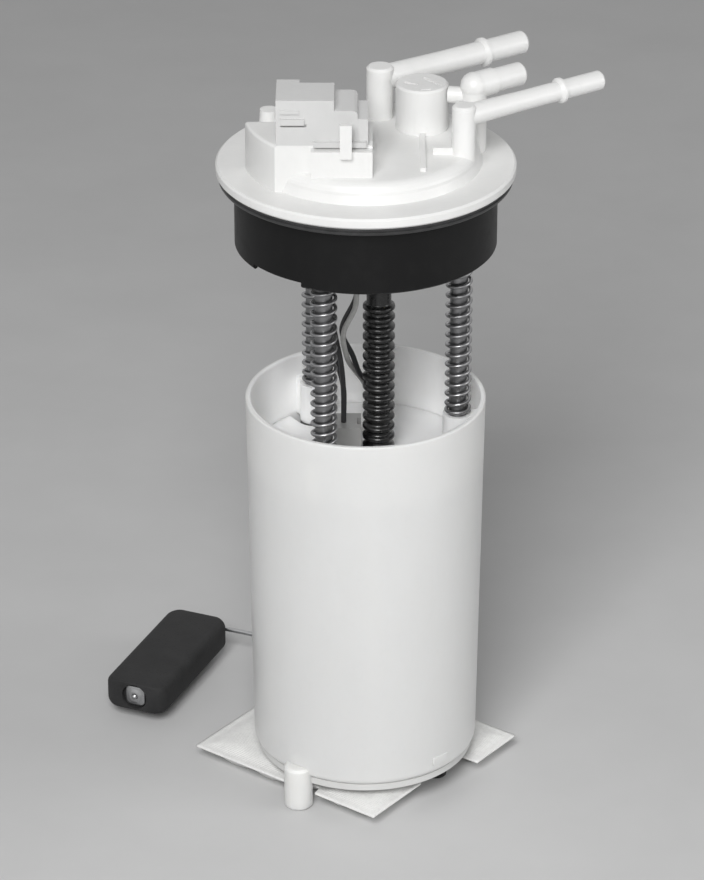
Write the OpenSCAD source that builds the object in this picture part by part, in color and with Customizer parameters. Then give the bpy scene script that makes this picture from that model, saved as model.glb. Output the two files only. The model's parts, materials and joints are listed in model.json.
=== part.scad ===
// Fuel pump module: cover with three nipples, sprung guide rods, reservoir, pump and level sender.
// Millimetres. +Z is up. The origin is the centre of the seal face that sits on the tank.

/* [Cover] */
// How far the cover's flange stands out beyond the skirt
flange_overhang = 7.25; // [5.5:0.25:10]
// Thickness of the cover flange
flange_t = 4.3; // [3.5:0.1:5]
// Diameter of the dome at its foot
dome_d = 93; // [92:0.5:96]
// Height of the dome above the flange
dome_h = 8; // [7:0.5:10]
// Radius of the round edge of the dome
dome_edge_r = 4.5; // [3:0.5:5]
// Wall of the cover moulding
cover_wall = 3; // [2.4:0.1:3.6]

/* [Seal and skirt] */
// How far the tank seal stands out beyond the skirt
seal_overhang = 6.25; // [4.5:0.25:7]
// Thickness of the tank seal
seal_t = 3.4; // [3.3:0.1:4.5]
// Outer diameter of the skirt that drops into the tank
skirt_d = 105.5; // [104:0.5:108]
// Depth of the skirt below the seal face
skirt_depth = 27.5; // [23:0.5:30]
// Wall of the skirt
skirt_wall = 2.5; // [2:0.1:3]
// Depth of the shallow notch in the skirt's lower edge
skirt_notch = 2.4; // [1:0.2:4]

/* [Guide rods and springs] */
// Diameter of a guide rod
rod_d = 7.2; // [6.6:0.1:7.4]
// Radius of the circle that the rods stand on
rod_circle_r = 38; // [37.7:0.1:38.3]
// Outer diameter of a spring
spring_d = 11.2; // [11:0.1:12]
// Wire diameter of a spring
spring_wire = 1.5; // [1.3:0.1:1.6]
// Rise of one turn of a spring
spring_pitch = 4.5; // [4:0.25:5.5]
// How far the cover slides down towards the reservoir
cover_travel = 35; // [25:1:38]
// Thickness of the stop clip on a rod
clip_t = 2; // [1.6:0.1:2.4]

/* [Reservoir] */
// Distance from the seal face down to the reservoir's rim
rim_drop = 96.3; // [92:0.5:100]
// Outer diameter of the reservoir at its rim
cup_rim_d = 98.5; // [98:0.1:99.5]
// Outer diameter of the reservoir at its base
cup_base_d = 94.2; // [93.8:0.1:95]
// Height of the reservoir
cup_h = 159.3; // [157:0.5:163]
// Wall of the reservoir
cup_wall = 2.2; // [1.8:0.1:2.4]
// Diameter of a foot peg
foot_d = 12; // [11:0.25:12.5]
// Height of the reservoir's underside above the ground
foot_h = 15.1; // [14.6:0.1:15.6]

/* [Pump] */
// Diameter of the pump's can
pump_d = 38; // [37:0.5:38.5]
// Height of the pump's can
pump_h = 76.5; // [74:0.5:78]
// Sheet thickness of the pump's can
can_wall = 1; // [0.8:0.1:1.2]
// Diameter of the motor's armature
armature_d = 28.8; // [26:0.2:29]
// Number of vanes on the impeller
impeller_vanes = 24; // [12:1:30]

/* [Supply hose] */
// Diameter over the hose's ridges
hose_d = 13.2; // [12:0.1:13.4]
// Diameter of the hose between its ridges
hose_root_d = 10; // [9.8:0.1:10.6]
// Distance from ridge to ridge
hose_pitch = 4.5; // [4:0.1:5.6]

/* [Nipples] */
// Outer diameter of the feed nipple
feed_d = 7.94; // [7.94:0.01:8]
// Outer diameter of the return nipple
return_d = 9.53; // [9.53:0.01:9.6]
// Outer diameter of the vapour nipple
vapour_d = 9.53; // [9.53:0.01:9.6]
// Reach of the feed nipple from its post
feed_reach = 68; // [62:1:72]
// Reach of the return nipple from its post
return_reach = 72; // [66:1:76]
// Reach of the vapour nipple from its post
vapour_reach = 23.5; // [21:0.5:27]
// Length of tube beyond the bead of the long nipples
nipple_end = 20; // [18:1:22]
// Direction of the nipples seen from above
nipple_turn = 35; // [33:1:37]

/* [Connector] */
// Length of the connector's collar
collar_l = 9; // [8:0.5:10]
// Width of the connector's collar
collar_w = 22.3; // [21:0.1:23]
// Height of the connector's collar
collar_h = 18.4; // [18:0.1:19]
// Wall of the connector's shell
shell_wall = 1.6; // [1.3:0.1:1.9]
// Number of contact blades
blade_count = 4; // [3:1:5]

/* [Level sender] */
// Direction of the sender seen from above
sender_turn = 67.5; // [66:0.5:69]
// Length of the sender's housing
sender_h = 50; // [48:1:54]
// Width of the sender's housing
sender_w = 24; // [23:0.5:26]
// Sideways reach from the pivot to the middle of the float
arm_reach = 104.1; // [100:0.5:106]
// Drop from the pivot to the float's wire
arm_drop = 42.8; // [41:0.1:44]
// Diameter of the arm's wire
arm_wire = 2; // [1.8:0.1:2.2]
// Angle that the arm swings up through
arm_swing = 70; // [50:1:72]
// Length of the float
float_l = 68.5; // [62:0.5:72]
// Width of the float
float_w = 28.8; // [26:0.2:30]
// Thickness of the float
float_t = 13.4; // [12.6:0.1:14.2]

/* [Strainer] */
// Thickness of the strainer sock at its middle
sock_t = 9; // [8.6:0.1:9.6]
// Width of the sock's welded edge
sock_seam = 3; // [2:0.5:4]
// Diameter of the strainer's neck
neck_d = 17; // [16.5:0.1:17.4]

/* [Hidden] */
$fn = 64;

// Clearances: between moving pieces, in a running fit, and between pieces that are only assembled
move_gap = 0.3;
run_gap = 0.06;
fit_gap = 0.1;
// A little extra so that a cut passes right through a face
cut = 0.5;

// Cover: its round edges, heights and the radii that the skirt fits to
flange_d = skirt_d + 2 * flange_overhang;
seal_d = skirt_d + 2 * seal_overhang;
flange_bottom = seal_t;
flange_top = flange_bottom + flange_t;
dome_top = flange_top + dome_h;
dome_under = dome_top - cover_wall;
flange_edge = 0.8;
skirt_in_r = skirt_d / 2 - skirt_wall;
spigot_depth = 6;
spigot_wall = 2.6;
spigot_r = skirt_in_r - fit_gap;
cavity_r = dome_d / 2 - cover_wall;
seal_seat_r = skirt_d / 2 - 0.75;
seal_mouth_r = skirt_d / 2 + 0.55;
seal_mouth_h = 1.2;
seal_lip = 1.5;
skirt_shoulder = 0.8;
skirt_edge = 0.8;

// Rods: three round the axis, the first nearly at +X
rod_turns = [4, 124, 244];
rod_boss_d = 12.4;
rod_boss_z = -8;
rod_top_z = 8;
guide_top_z = -rim_drop - 9.7;
guide_h = 17;
guide_bottom_z = guide_top_z - guide_h;
guide_bore_d = rod_d + 2 * move_gap;
clip_d = 12;
clip_top_z = guide_bottom_z - move_gap;
rod_tail = 3;
rod_bottom_z = clip_top_z - clip_t - rod_tail;
spring_bottom_z = guide_top_z + fit_gap / 2;
spring_top_z = rod_boss_z - move_gap;
spring_steps = 10;
spring_sides = 5;

// Heights of the reservoir
rim_z = -rim_drop;
cup_bottom_z = rim_z - cup_h;
floor_t = 2.2;
floor_z = cup_bottom_z + floor_t;
cup_corner_r = 3;
ground_z = cup_bottom_z - foot_h;
foot_circle_r = cup_base_d / 2 - 0.8;
foot_top_z = cup_bottom_z + 3.6;
foot_edge = 0.9;
foot_turns = [-127, 53];
platform_t = 3;
platform_z = guide_bottom_z;
rib_turns = [34, 94, 154, 214, 274, 334];
rib_t = 2.4;
rib_depth = 4;
lug_turns = [-48, 132];
lug_rise = 0.4;
base_cap_t = 2.9;
cap_disc_t = 1.5;
base_cap_z = cup_bottom_z - base_cap_t;
base_cap_d = cup_base_d - 3.2;

// Pump: axis, ends and the pieces that hold it
pump_x = -4;
pump_y = 2;
pump_r = pump_d / 2;
can_bottom_z = floor_z + 14.9;
can_top_z = can_bottom_z + pump_h;
isolator_t = 2.5;
cradle_z = can_bottom_z - isolator_t;
cradle_wall = 2.4;
cradle_in_r = pump_r + 2.6;
cradle_h = 5;
inlet_cap_h = 10.5;
chamber_floor_z = can_bottom_z + inlet_cap_h;
impeller_t = 3;
chamber_plate_t = 5.4;
chamber_roof_z = chamber_floor_z + impeller_t + 2 * move_gap;
inlet_r = 6;
inlet_end_z = can_bottom_z - 8.5;
shaft_r = 2;
outlet_cap_z = can_top_z - 8;
outlet_rim_t = 3;
outlet_face_z = can_top_z + outlet_rim_t;
nozzle_off = 9.4;
nozzle_r = 3.4;
nozzle_barb = 0.3;
nozzle_bore_r = 2.7;
nozzle_top_z = outlet_face_z + 21;
upper_isolator_t = 2.5;
retainer_lip_t = 2.5;
retainer_in_r = pump_r + 1.5;
retainer_wall = 2;
retainer_lip_z = outlet_face_z + upper_isolator_t;
lip_in_r = pump_r - 2.5;
magnet_t = 3;
brush_w = 4;
commutator_r = 7;
armature_z = chamber_roof_z + chamber_plate_t + 4;
armature_h = 34;
commutator_h = 8;

// Check valve in the pump's nozzle
ball_r = 2.2;
ball_z = nozzle_top_z - 10;
check_lip_t = 1.5;
check_lift = 1.5;

// Supply hose from the cover's spigot to the pump's nozzle
hose_x = pump_x + nozzle_off;
hose_y = pump_y;
hose_wall = 0.9;
hose_bore_r = nozzle_r + nozzle_barb + move_gap;
hose_cuff_r = hose_root_d / 2 + 0.1;
hose_column_z = -12;
hose_spigot_l = 14;
hose_barb_pitch = 4;
hose_top_z = hose_column_z - move_gap;
hose_bottom_z = nozzle_top_z - 5.5;
hose_plain_top = 41.3;
hose_plain_bottom = 12;
hose_ridges = floor((hose_top_z - hose_plain_top - hose_bottom_z - hose_plain_bottom) / hose_pitch);
hose_ridge_z = hose_bottom_z + hose_plain_bottom;

// Nipples: each has a post, the height of its axis, and its bead
feed_x = 38.5;
feed_y = -12;
feed_rise = 15.6;
feed_z = dome_top + feed_rise;
return_x = 5.6;
return_y = 26;
return_rise = 16.3;
return_z = dome_top + return_rise;
vapour_x = 43;
vapour_y = 11;
vapour_rise = 19.3;
vapour_z = dome_top + vapour_rise;
vapour_barrel = 9;
post_wall = 0.8;
post_draft = 0.4;
bead_w = 2.4;
bead_rise = 1.2;
root_rise = 0.5;
root_l = 30;
tube_wall = 1.5;

// Vent valve tower on the dome
valve_x = 22.4;
valve_y = 15.2;
valve_d = 21.2;
valve_h = 19;
valve_wall = 1.6;
valve_in_r = valve_d / 2 - valve_wall;
vent_lift = 3;
cage_floor_t = 1.5;
cage_wall = 1;
cage_r = valve_in_r - 0.2;
cage_bottom_z = dome_under - cage_floor_t;
vent_float_r = cage_r - cage_wall - 0.6;
vent_float_z = dome_under + 0.2;
vent_float_h = 14;
vent_tip_h = 3.5;
vent_pocket_r = 4.2;
vent_pocket_h = 7;
// Slots in the top of the tower: their ends from its axis
valve_slots = [[[0.5, 5.2], [7.6, -3.4]], [[-7.2, 0.4], [-2, -2.6]], [[-0.8, -8.2], [3.6, -7.6]]];
valve_slot_w = 1.4;
valve_slot_depth = 0.8;

// Connector and the pedestal that carries it
collar_x = -35;
connector_y = -33;
pedestal_rise = 11.7;
pedestal_top = dome_top + pedestal_rise;
pedestal_end_x = 2.6;
pedestal_r = dome_d / 2 + 2;
pedestal_edge_r = 1.2;
pedestal_step = 4.5;
pedestal_step_z = pedestal_top - 1;
shell_z = pedestal_top + 0.3;
shell_foot = 0.3;
body_l = 13.6;
body_w = collar_w - 3.3;
rear_l = 9.2;
rear_h = collar_h - 4.2;
rear_corner_r = 2;
tail_l = 4;
tail_h = 10.6;
ledge_z = shell_z + 8.6;
ledge_h = 2.4;
slot_h = 1.2;
socket_l = 15;
blade_t = 0.8;
blade_w = 1.8;
blade_pitch = 4;
blade_z = shell_z + collar_h / 2;
blade_x = -10.5;
blade_reach = 18.5;
blade_bottom_z = 0;
finger_x = -7.8;
finger_w = 4.7;
finger_t = 2.4;
finger_h = 12;
finger_foot = 2;

// Leads
lead_r = 1.1;
lead_sides = 8;
lead_block_w = 10.8;
lead_block_d = 14;
lead_block_h = 14;
lead_block_x = -12.6;
lead_block_y = -6;
lead_block_top = platform_z + lead_block_h;
grommet_r = 4;
grommet_rise = 0.8;
grommet_top = platform_z + grommet_rise;
grommet_bottom = platform_z - platform_t - grommet_rise;
grommet_circle_r = 39.4;
grommet_turn = 81;
tail_side = 1.5;
tail_r = cup_base_d / 2 - cup_wall - 3.5;
tail_wall_h = 70.7;
tail_wall_z = ground_z + tail_wall_h;
terminal_h = 10;
terminal_top = outlet_face_z + terminal_h;

// Sender: its frame has u along the sender's direction and t to its left
sender_seat = cup_base_d / 2 + 2.4;
pivot_h = 55.7;
pivot_z = ground_z + pivot_h;
sender_plate = 2;
sender_rim = 4;
sender_rim_wall = 1.6;
pin_r = 2.5;
pin_end = sender_seat + 8.4;
hub_r = 6;
hub_start = sender_seat + 3.5;
hub_end = pin_end + 0.4;
arm_u = hub_end + 1.2;
grip_end = arm_u + 1.5;
grip_half = 3.2;
grip_l = 12;
knee_reach = 62;
float_wire_z = pivot_z - arm_drop;
arm_fall = atan2(arm_drop, knee_reach);
stop_r = 1.5;
stop_along = 11;
stop_off = arm_wire / 2 + move_gap + stop_r;
float_far_u = arm_u - 2;
float_near_u = float_far_u - float_l;
float_corner_r = 4;
float_edge = 0.9;
float_bore_r = arm_wire / 2 + run_gap;
nut_r = 5;
nut_t = 0.8;
nut_hub_r = 3.2;
nut_pocket_r = nut_r + 0.8;
nut_pocket_depth = 2.2;
nut_u = float_near_u + nut_pocket_depth - move_gap;
wire_end_u = float_near_u - 0.5;
card_t = 1;
card_w = 7;
card_h = 22;
card_off = 10.2;

// Strainer: its frame is turned, with v to the front right and w to the back right
sock_turn = -37;
sock_v = [-57, 26, 38, 47];
sock_w = [-44.5, -11, 17, 45];
sock_notch = foot_d / 2 + move_gap;
sock_notch_w = foot_circle_r - foot_d / 2 - 0.5;
sock_bottom_z = ground_z;
sock_seam_h = 7;
sock_seam_z = ground_z + sock_seam_h;
frame_half_w = 26;
sock_seam_t = 0.8;
sock_shoulder = 8.5;
sock_cloth = 0.8;
sock_top_z = sock_bottom_z + sock_t;
frame_ribs = [-40, -22, -4, 8];
neck_top_z = inlet_end_z + 3;
neck_bore_r = inlet_r + move_gap;
neck_flange_r = 13;
neck_flange_t = 1.5;
port_gap = 0.4;
fill_v = cup_base_d / 2 - 9;
fill_w = -1.5;
fill_r = 5;
fill_h = 4.2;
fill_floor_t = 1.2;
fill_wall = 1.2;
fill_window = 3;
fill_hole_r = 0.8;
fill_hole_circle_r = 2.7;
fill_stem_r = 1.5;

// Lead routes, from the cover's blades down to the reservoir
live_route = [
    [-10.5, -21.5, -0.3], [-11.5, -20, -8], [-16, -10, -30], [-15, -3, -52],
    [-12.5, -2, -68], [-10, -1, -82], [-9, 0, -96], [-9, 0, -109]
];
earth_route = [
    [-10.5, -17.5, -0.3], [-12, -16, -8], [-18, -5, -30], [-17.5, 2, -52],
    [-15, 3, -68], [-11.5, 4, -84], [-9, 4, -96], [-9, 4, -109]
];
signal_route = [
    [-10.5, -29.5, -0.3], [-10.5, -27, -10], [-5, -13, -38], [-4, -9, -52],
    [-9, -6, -66], [-7.4, -0.2, -80], [-4.4, 9.4, -90], [-0.5, 14, -98], [4.7, 39.1, -122.2]
];
sender_earth_route = [
    [-10.5, -25.5, -0.3], [-9.5, -22.5, -10], [-3.2, -11, -35], [-4, -6, -50],
    [-9.6, -3, -65.5], [-5.2, 2.4, -80], [-2.4, 6.6, -90], [2.2, 12, -98], [7.6, 38.7, -122.2]
];

function spline_at(a, b, c, d, s) =
    0.5 * (2 * b + (c - a) * s + (2 * a - 5 * b + 4 * c - d) * s * s + (3 * b - a - 3 * c + d) * s * s * s);

function smooth_route(p, n) = concat(
    [for (i = [0 : len(p) - 2], k = [0 : n - 1])
        spline_at(p[max(i - 1, 0)], p[i], p[i + 1], p[min(i + 2, len(p) - 1)], k / n)],
    [p[len(p) - 1]]
);

function unit(v) = v / norm(v);

// The ring round point i of a route, which starts straight down and ends along its last direction
function route_ring(p, i, r, sides, last) =
    let (t = i == 0 ? [0, 0, -1] : i == len(p) - 1 ? last : unit(p[i + 1] - p[i - 1]))
    let (n = unit(cross(t, [1, 0, 0])))
    let (b = cross(t, n))
    [for (k = [0 : sides - 1]) p[i] + r * (cos(360 * k / sides) * n + sin(360 * k / sides) * b)];

function arc(x, y, r, from, to, n) =
    [for (i = [0 : n]) let (a = from + (to - from) * i / n) [x + r * cos(a), y + r * sin(a)]];

function round_rect(w, d, r, n) = concat(
    arc(w - r, d - r, r, 0, 90, n), arc(-w + r, d - r, r, 90, 180, n),
    arc(-w + r, -d + r, r, 180, 270, n), arc(w - r, -d + r, r, 270, 360, n)
);

function at_height(outline, z) = [for (p = outline) [p[0], p[1], z]];

// A closed solid through rings of points, each ring with as many points as the next.
// The patches are the convex faces that close an end, for an outline that isn't convex.
module skin(rings, patches = undef) {
    n = len(rings[0]);
    m = len(rings);
    ends = is_undef(patches) ? [[for (j = [0 : n - 1]) j]] : patches;
    points = [for (ring = rings) for (p = ring) p];
    sides = [
        for (i = [0 : m - 2], j = [0 : n - 1])
            let (a = i * n + j, b = i * n + (j + 1) % n)
            each [[a, a + n, b + n], [a, b + n, b]]
    ];
    low = ends;
    high = [for (f = ends) [for (k = [len(f) - 1 : -1 : 0]) (m - 1) * n + f[k]]];
    polyhedron(points, concat(sides, low, high), convexity = 6);
}

module lead(route, n, last = [0, 0, -1]) {
    path = smooth_route(route, n);
    skin([for (i = [0 : len(path) - 1]) route_ring(path, i, lead_r, lead_sides, last)]);
}

// A compression spring standing on z = 0, with one closed turn at each end
module coil(length, mean_r, wire, pitch, steps, sides) {
    closed = wire + 0.06;
    active = max(2, round((length - wire - 2 * closed) / pitch));
    rise = (length - wire - 2 * closed) / active;
    total = active + 2;
    function height(turn) = wire / 2 + (turn < 1 ? turn * closed
        : turn > active + 1 ? closed + active * rise + (turn - active - 1) * closed
        : closed + (turn - 1) * rise);
    function wire_ring(turn) =
        let (radial = [cos(360 * turn), sin(360 * turn), 0])
        [for (k = [0 : sides - 1])
            mean_r * radial + [0, 0, height(turn)]
            + wire / 2 * (cos(360 * k / sides) * [0, 0, 1] + sin(360 * k / sides) * radial)];
    skin([for (i = [0 : total * steps]) wire_ring(i / steps)]);
}

module at_rod(turn) {
    rotate(turn) translate([rod_circle_r, 0, 0]) children();
}

module at_pump() {
    translate([pump_x, pump_y, 0]) children();
}

// Puts +X along the sender's direction, and +Y to its left
module at_sender() {
    rotate(sender_turn) children();
}

module at_grommet() {
    rotate(grommet_turn) translate([grommet_circle_r, 0, 0]) children();
}

module tube(outer, inner, from, to) {
    translate([0, 0, from]) difference() {
        cylinder(r = outer, h = to - from);
        translate([0, 0, -cut]) cylinder(r = inner, h = to - from + 2 * cut);
    }
}

// A cylinder along +X
module bar_x(r, from, to) {
    translate([from, 0, 0]) rotate([0, 90, 0]) cylinder(r = r, h = to - from);
}

module block(x, y, z) {
    translate([x[0], y[0], z[0]]) cube([x[1] - x[0], y[1] - y[0], z[1] - z[0]]);
}

// Cover

module cover_shell() {
    top_r = dome_d / 2 - 1.2;
    rotate_extrude($fn = 96) polygon(concat(
        [[0, dome_under], [0, dome_top]],
        [for (a = [90 : -15 : 0])
            [top_r - dome_edge_r + dome_edge_r * cos(a), dome_top - dome_edge_r + dome_edge_r * sin(a)]],
        [[dome_d / 2, flange_top]],
        [[flange_d / 2 - flange_edge, flange_top], [flange_d / 2, flange_top - flange_edge]],
        [[flange_d / 2, flange_bottom + flange_edge], [flange_d / 2 - flange_edge, flange_bottom]],
        [[spigot_r, flange_bottom], [spigot_r, flange_bottom - spigot_depth]],
        [[spigot_r - spigot_wall, flange_bottom - spigot_depth], [spigot_r - spigot_wall, flange_bottom]],
        [[cavity_r, flange_bottom], [cavity_r - 1, dome_under]]
    ));
}

module nipple_outside(x, y, z, r, reach, end_l) {
    post_r = r + post_wall;
    translate([x, y, flange_bottom]) cylinder(r = post_r, h = z + post_r - flange_bottom - 1);
    translate([x, y, z + post_r - 1]) cylinder(r1 = post_r, r2 = post_r - 1, h = 1);
    translate([x, y, z]) rotate(nipple_turn) {
        bar_x(r, 0, reach - 1);
        translate([reach - 1, 0, 0]) rotate([0, 90, 0]) cylinder(r1 = r, r2 = r - 0.8, h = 1);
        rotate([0, 90, 0]) cylinder(r1 = r + root_rise, r2 = r, h = root_l);
        translate([reach - end_l, 0, 0]) rotate([0, 90, 0]) bead(r);
    }
}

// The raised ring that a quick connector locks behind
module bead(r) {
    translate([0, 0, -bead_w]) cylinder(r1 = r, r2 = r + bead_rise, h = bead_w / 2);
    translate([0, 0, -bead_w / 2]) cylinder(r = r + bead_rise, h = bead_w / 2);
}

module nipple_bore(x, y, z, r, reach, foot) {
    bore_r = r - tube_wall;
    translate([x, y, z]) rotate(nipple_turn) bar_x(bore_r, 0, reach + cut);
    translate([x, y, foot]) cylinder(r = bore_r - post_draft, h = z - foot + post_draft);
}

module vapour_outside() {
    r = vapour_d / 2;
    translate([vapour_x, vapour_y, vapour_z]) {
        sphere(r = r + 0.8);
        rotate(nipple_turn) {
            bar_x(r + 0.6, 0, vapour_barrel);
            bar_x(r, 0, vapour_reach - 1);
            translate([vapour_reach - 1, 0, 0]) rotate([0, 90, 0]) cylinder(r1 = r, r2 = r - 0.8, h = 1);
        }
        translate([0, 0, -(vapour_z - flange_top)]) cylinder(r = r + 0.4, h = vapour_z - flange_top);
    }
    // Short duct that joins the vapour nipple to the vent valve's tower
    translate([valve_x, valve_y, vapour_z - 4.5]) {
        rotate(atan2(vapour_y - valve_y, vapour_x - valve_x)) {
            bar_x(3.4, valve_d / 2 + fit_gap, norm([vapour_x - valve_x, vapour_y - valve_y]));
        }
    }
}

// A straight block whose outer end follows the dome's foot down to the flange
module pedestal() {
    foot_z = flange_top - 0.2;
    under = dome_under + 0.5;
    intersection() {
        block([-pedestal_r, pedestal_end_x], [connector_y, connector_y + collar_w + 2],
            [foot_z, pedestal_top + cut]);
        rotate_extrude($fn = 96) polygon(concat(
            [[0, under], [0, pedestal_top]],
            [for (a = [90 : -15 : 0])
                [pedestal_r - pedestal_edge_r + pedestal_edge_r * cos(a),
                    pedestal_top - pedestal_edge_r + pedestal_edge_r * sin(a)]],
            [[pedestal_r, foot_z], [cavity_r + 1, foot_z], [cavity_r + 1, under]]
        ));
    }
    block([-21.5, pedestal_end_x], [connector_y - pedestal_step, connector_y + 1], [under, pedestal_step_z]);
}

// Snap finger that holds the connector down on its pedestal
module snap_finger() {
    face = connector_y - pedestal_step;
    low = pedestal_step_z - finger_foot;
    block([finger_x - finger_w / 2, finger_x + finger_w / 2], [face - finger_t, face + 0.2],
        [low, pedestal_step_z]);
    block([finger_x - finger_w / 2, finger_x + finger_w / 2], [face - finger_t, face],
        [low, pedestal_step_z + finger_h]);
}

module cover_ribs() {
    // Low ribs on the dome: from the tower to the front, and across to the feed post
    block([valve_x - 1.1, valve_x + 1.1], [-31, valve_y], [dome_under, dome_top + 1.5]);
    block([valve_x + 4, feed_x], [feed_y - 1.8, feed_y - 0.2], [dome_under, dome_top + 2.8]);
    // Boss beside the connector
    translate([-39, 20, flange_top]) cylinder(r1 = 4.6, r2 = 3.6, h = dome_h + 5.5);
}

module cover_moulding() color("whitesmoke") {
    difference() {
        union() {
            cover_shell();
            pedestal();
            snap_finger();
            cover_ribs();
            nipple_outside(feed_x, feed_y, feed_z, feed_d / 2, feed_reach, nipple_end);
            nipple_outside(return_x, return_y, return_z, return_d / 2, return_reach, nipple_end);
            vapour_outside();
            for (turn = rod_turns) {
                at_rod(turn) translate([0, 0, rod_boss_z]) {
                    cylinder(d = rod_boss_d, h = dome_under + 1 - rod_boss_z);
                }
            }
            translate([hose_x, hose_y, 0]) {
                tube(hose_bore_r + 1.6, nozzle_bore_r, hose_column_z, dome_under + 1);
                tube(nozzle_r, nozzle_bore_r, hose_column_z - hose_spigot_l, hose_column_z);
                for (k = [0 : 2]) {
                    translate([0, 0, hose_column_z - hose_spigot_l + 1 + hose_barb_pitch * k]) difference() {
                        cylinder(r1 = nozzle_r, r2 = nozzle_r + nozzle_barb, h = 2.4);
                        translate([0, 0, -cut]) cylinder(r = nozzle_bore_r, h = 3.4);
                    }
                }
            }
        }
        for (turn = rod_turns) {
            at_rod(turn) translate([0, 0, rod_boss_z - cut]) {
                cylinder(d = rod_d, h = rod_top_z - rod_boss_z + cut);
            }
        }
        nipple_bore(feed_x, feed_y, feed_z, feed_d / 2, feed_reach, dome_under + 1);
        nipple_bore(return_x, return_y, return_z, return_d / 2, return_reach, dome_under - cut);
        translate([vapour_x, vapour_y, vapour_z]) rotate(nipple_turn) {
            bar_x(vapour_d / 2 - tube_wall, 0, vapour_reach + cut);
        }
        translate([valve_x, valve_y, dome_under - cut]) cylinder(r = cage_r + 0.05, h = cover_wall + 2 * cut);
        translate([valve_x, valve_y, dome_top]) cylinder(r = valve_d / 2 + fit_gap / 2, h = valve_h);
        for (k = [0 : blade_count - 1]) {
            block([blade_x - blade_t / 2 - fit_gap, blade_x + blade_t / 2 + fit_gap],
                [blade_y(k) - blade_w / 2 - fit_gap, blade_y(k) + blade_w / 2 + fit_gap],
                [dome_under - cut, pedestal_top + cut]);
        }
    }
}

module cover_skirt() color("#181818") {
    difference() {
        rotate_extrude($fn = 96) polygon([
            [skirt_in_r, flange_bottom], [skirt_in_r, -skirt_depth + 0.6], [skirt_in_r + 0.6, -skirt_depth],
            [skirt_d / 2 - skirt_edge, -skirt_depth], [skirt_d / 2, -skirt_depth + skirt_edge],
            [skirt_d / 2, -skirt_shoulder], [seal_seat_r, -skirt_shoulder], [seal_seat_r, flange_bottom]
        ]);
        rotate(-133) translate([skirt_d / 2, 0, -skirt_depth]) {
            cube([skirt_wall * 4, 26, 2 * skirt_notch], center = true);
        }
    }
}

module tank_seal() color("#101010") {
    inner = seal_seat_r + fit_gap;
    rotate_extrude($fn = 96) polygon(concat(
        [[inner, seal_mouth_h], [seal_mouth_r, 0]], arc(seal_d / 2 - seal_lip, seal_lip, seal_lip, -90, 0, 4),
        [[seal_d / 2, seal_t - 1.7], [seal_d / 2 - 0.5, seal_t - 1.4], [seal_d / 2 - 0.5, seal_t - 1.1]],
        [[seal_d / 2, seal_t - 0.8], [seal_d / 2, seal_t - 0.4], [seal_d / 2 - 0.4, seal_t], [inner, seal_t]]
    ));
}

// Connector

function blade_y(k) = connector_y + body_w / 2 + blade_pitch * (k - (blade_count - 1) / 2);

module connector_shell() color("#c8c8c8") {
    body_x = collar_x + collar_l;
    rear_x = body_x + body_l;
    base = shell_z - shell_foot;
    tail_x = rear_x + rear_l;
    corner = rear_corner_r;
    difference() {
        union() {
            block([collar_x, body_x], [connector_y, connector_y + collar_w], [base, shell_z + collar_h]);
            block([body_x, rear_x], [connector_y, connector_y + body_w], [base, shell_z + collar_h]);
            block([rear_x, tail_x - corner], [connector_y, connector_y + collar_w], [base, shell_z + rear_h]);
            block([rear_x, tail_x], [connector_y, connector_y + collar_w], [base, shell_z + rear_h - corner]);
            translate([tail_x - corner, connector_y, shell_z + rear_h - corner]) {
                rotate([-90, 0, 0]) cylinder(r = corner, h = collar_w);
            }
            block([tail_x - cut, tail_x + tail_l], [connector_y + 0.4, connector_y + body_w + 1],
                [base, shell_z + tail_h]);
            // Foot rail that the snap finger hooks over
            block([-20.5, tail_x + tail_l - 0.6], [connector_y - 2.2, connector_y + 0.6], [base, base + 2]);
            // Latch ledge on the front of the collar
            block([collar_x + 1.8, body_x + 2], [connector_y - 1.4, connector_y + 0.2],
                [ledge_z, ledge_z + ledge_h]);
            block([collar_x + 1.5, body_x], [connector_y - 0.8, connector_y + 0.2],
                [shell_z + collar_h - 5.4, shell_z + collar_h - 4]);
        }
        // Socket, open towards -X
        block([collar_x - cut, collar_x + socket_l],
            [connector_y + shell_wall, connector_y + body_w - shell_wall],
            [shell_z + shell_wall, shell_z + collar_h - shell_wall]);
        // Slot under the latch ledge
        block([collar_x + 1.8, body_x + 3], [connector_y - cut, connector_y + shell_wall - 0.4],
            [ledge_z - slot_h, ledge_z]);
        for (k = [0 : blade_count - 1]) {
            block([collar_x + socket_l - cut, blade_x + blade_t / 2 + fit_gap],
                [blade_y(k) - blade_w / 2 - fit_gap, blade_y(k) + blade_w / 2 + fit_gap],
                [blade_z - blade_t / 2 - fit_gap, blade_z + blade_t / 2 + fit_gap]);
            block([blade_x - blade_t / 2 - fit_gap, blade_x + blade_t / 2 + fit_gap],
                [blade_y(k) - blade_w / 2 - fit_gap, blade_y(k) + blade_w / 2 + fit_gap],
                [base - cut, blade_z + blade_t / 2 + fit_gap]);
        }
    }
}

module connector_blades() color("#c9b27a") {
    for (k = [0 : blade_count - 1]) {
        block([blade_x - blade_reach, blade_x + blade_t / 2],
            [blade_y(k) - blade_w / 2, blade_y(k) + blade_w / 2],
            [blade_z - blade_t / 2, blade_z + blade_t / 2]);
        block([blade_x - blade_t / 2, blade_x + blade_t / 2],
            [blade_y(k) - blade_w / 2, blade_y(k) + blade_w / 2],
            [blade_bottom_z, blade_z + blade_t / 2]);
    }
}

// Vent valve

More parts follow.
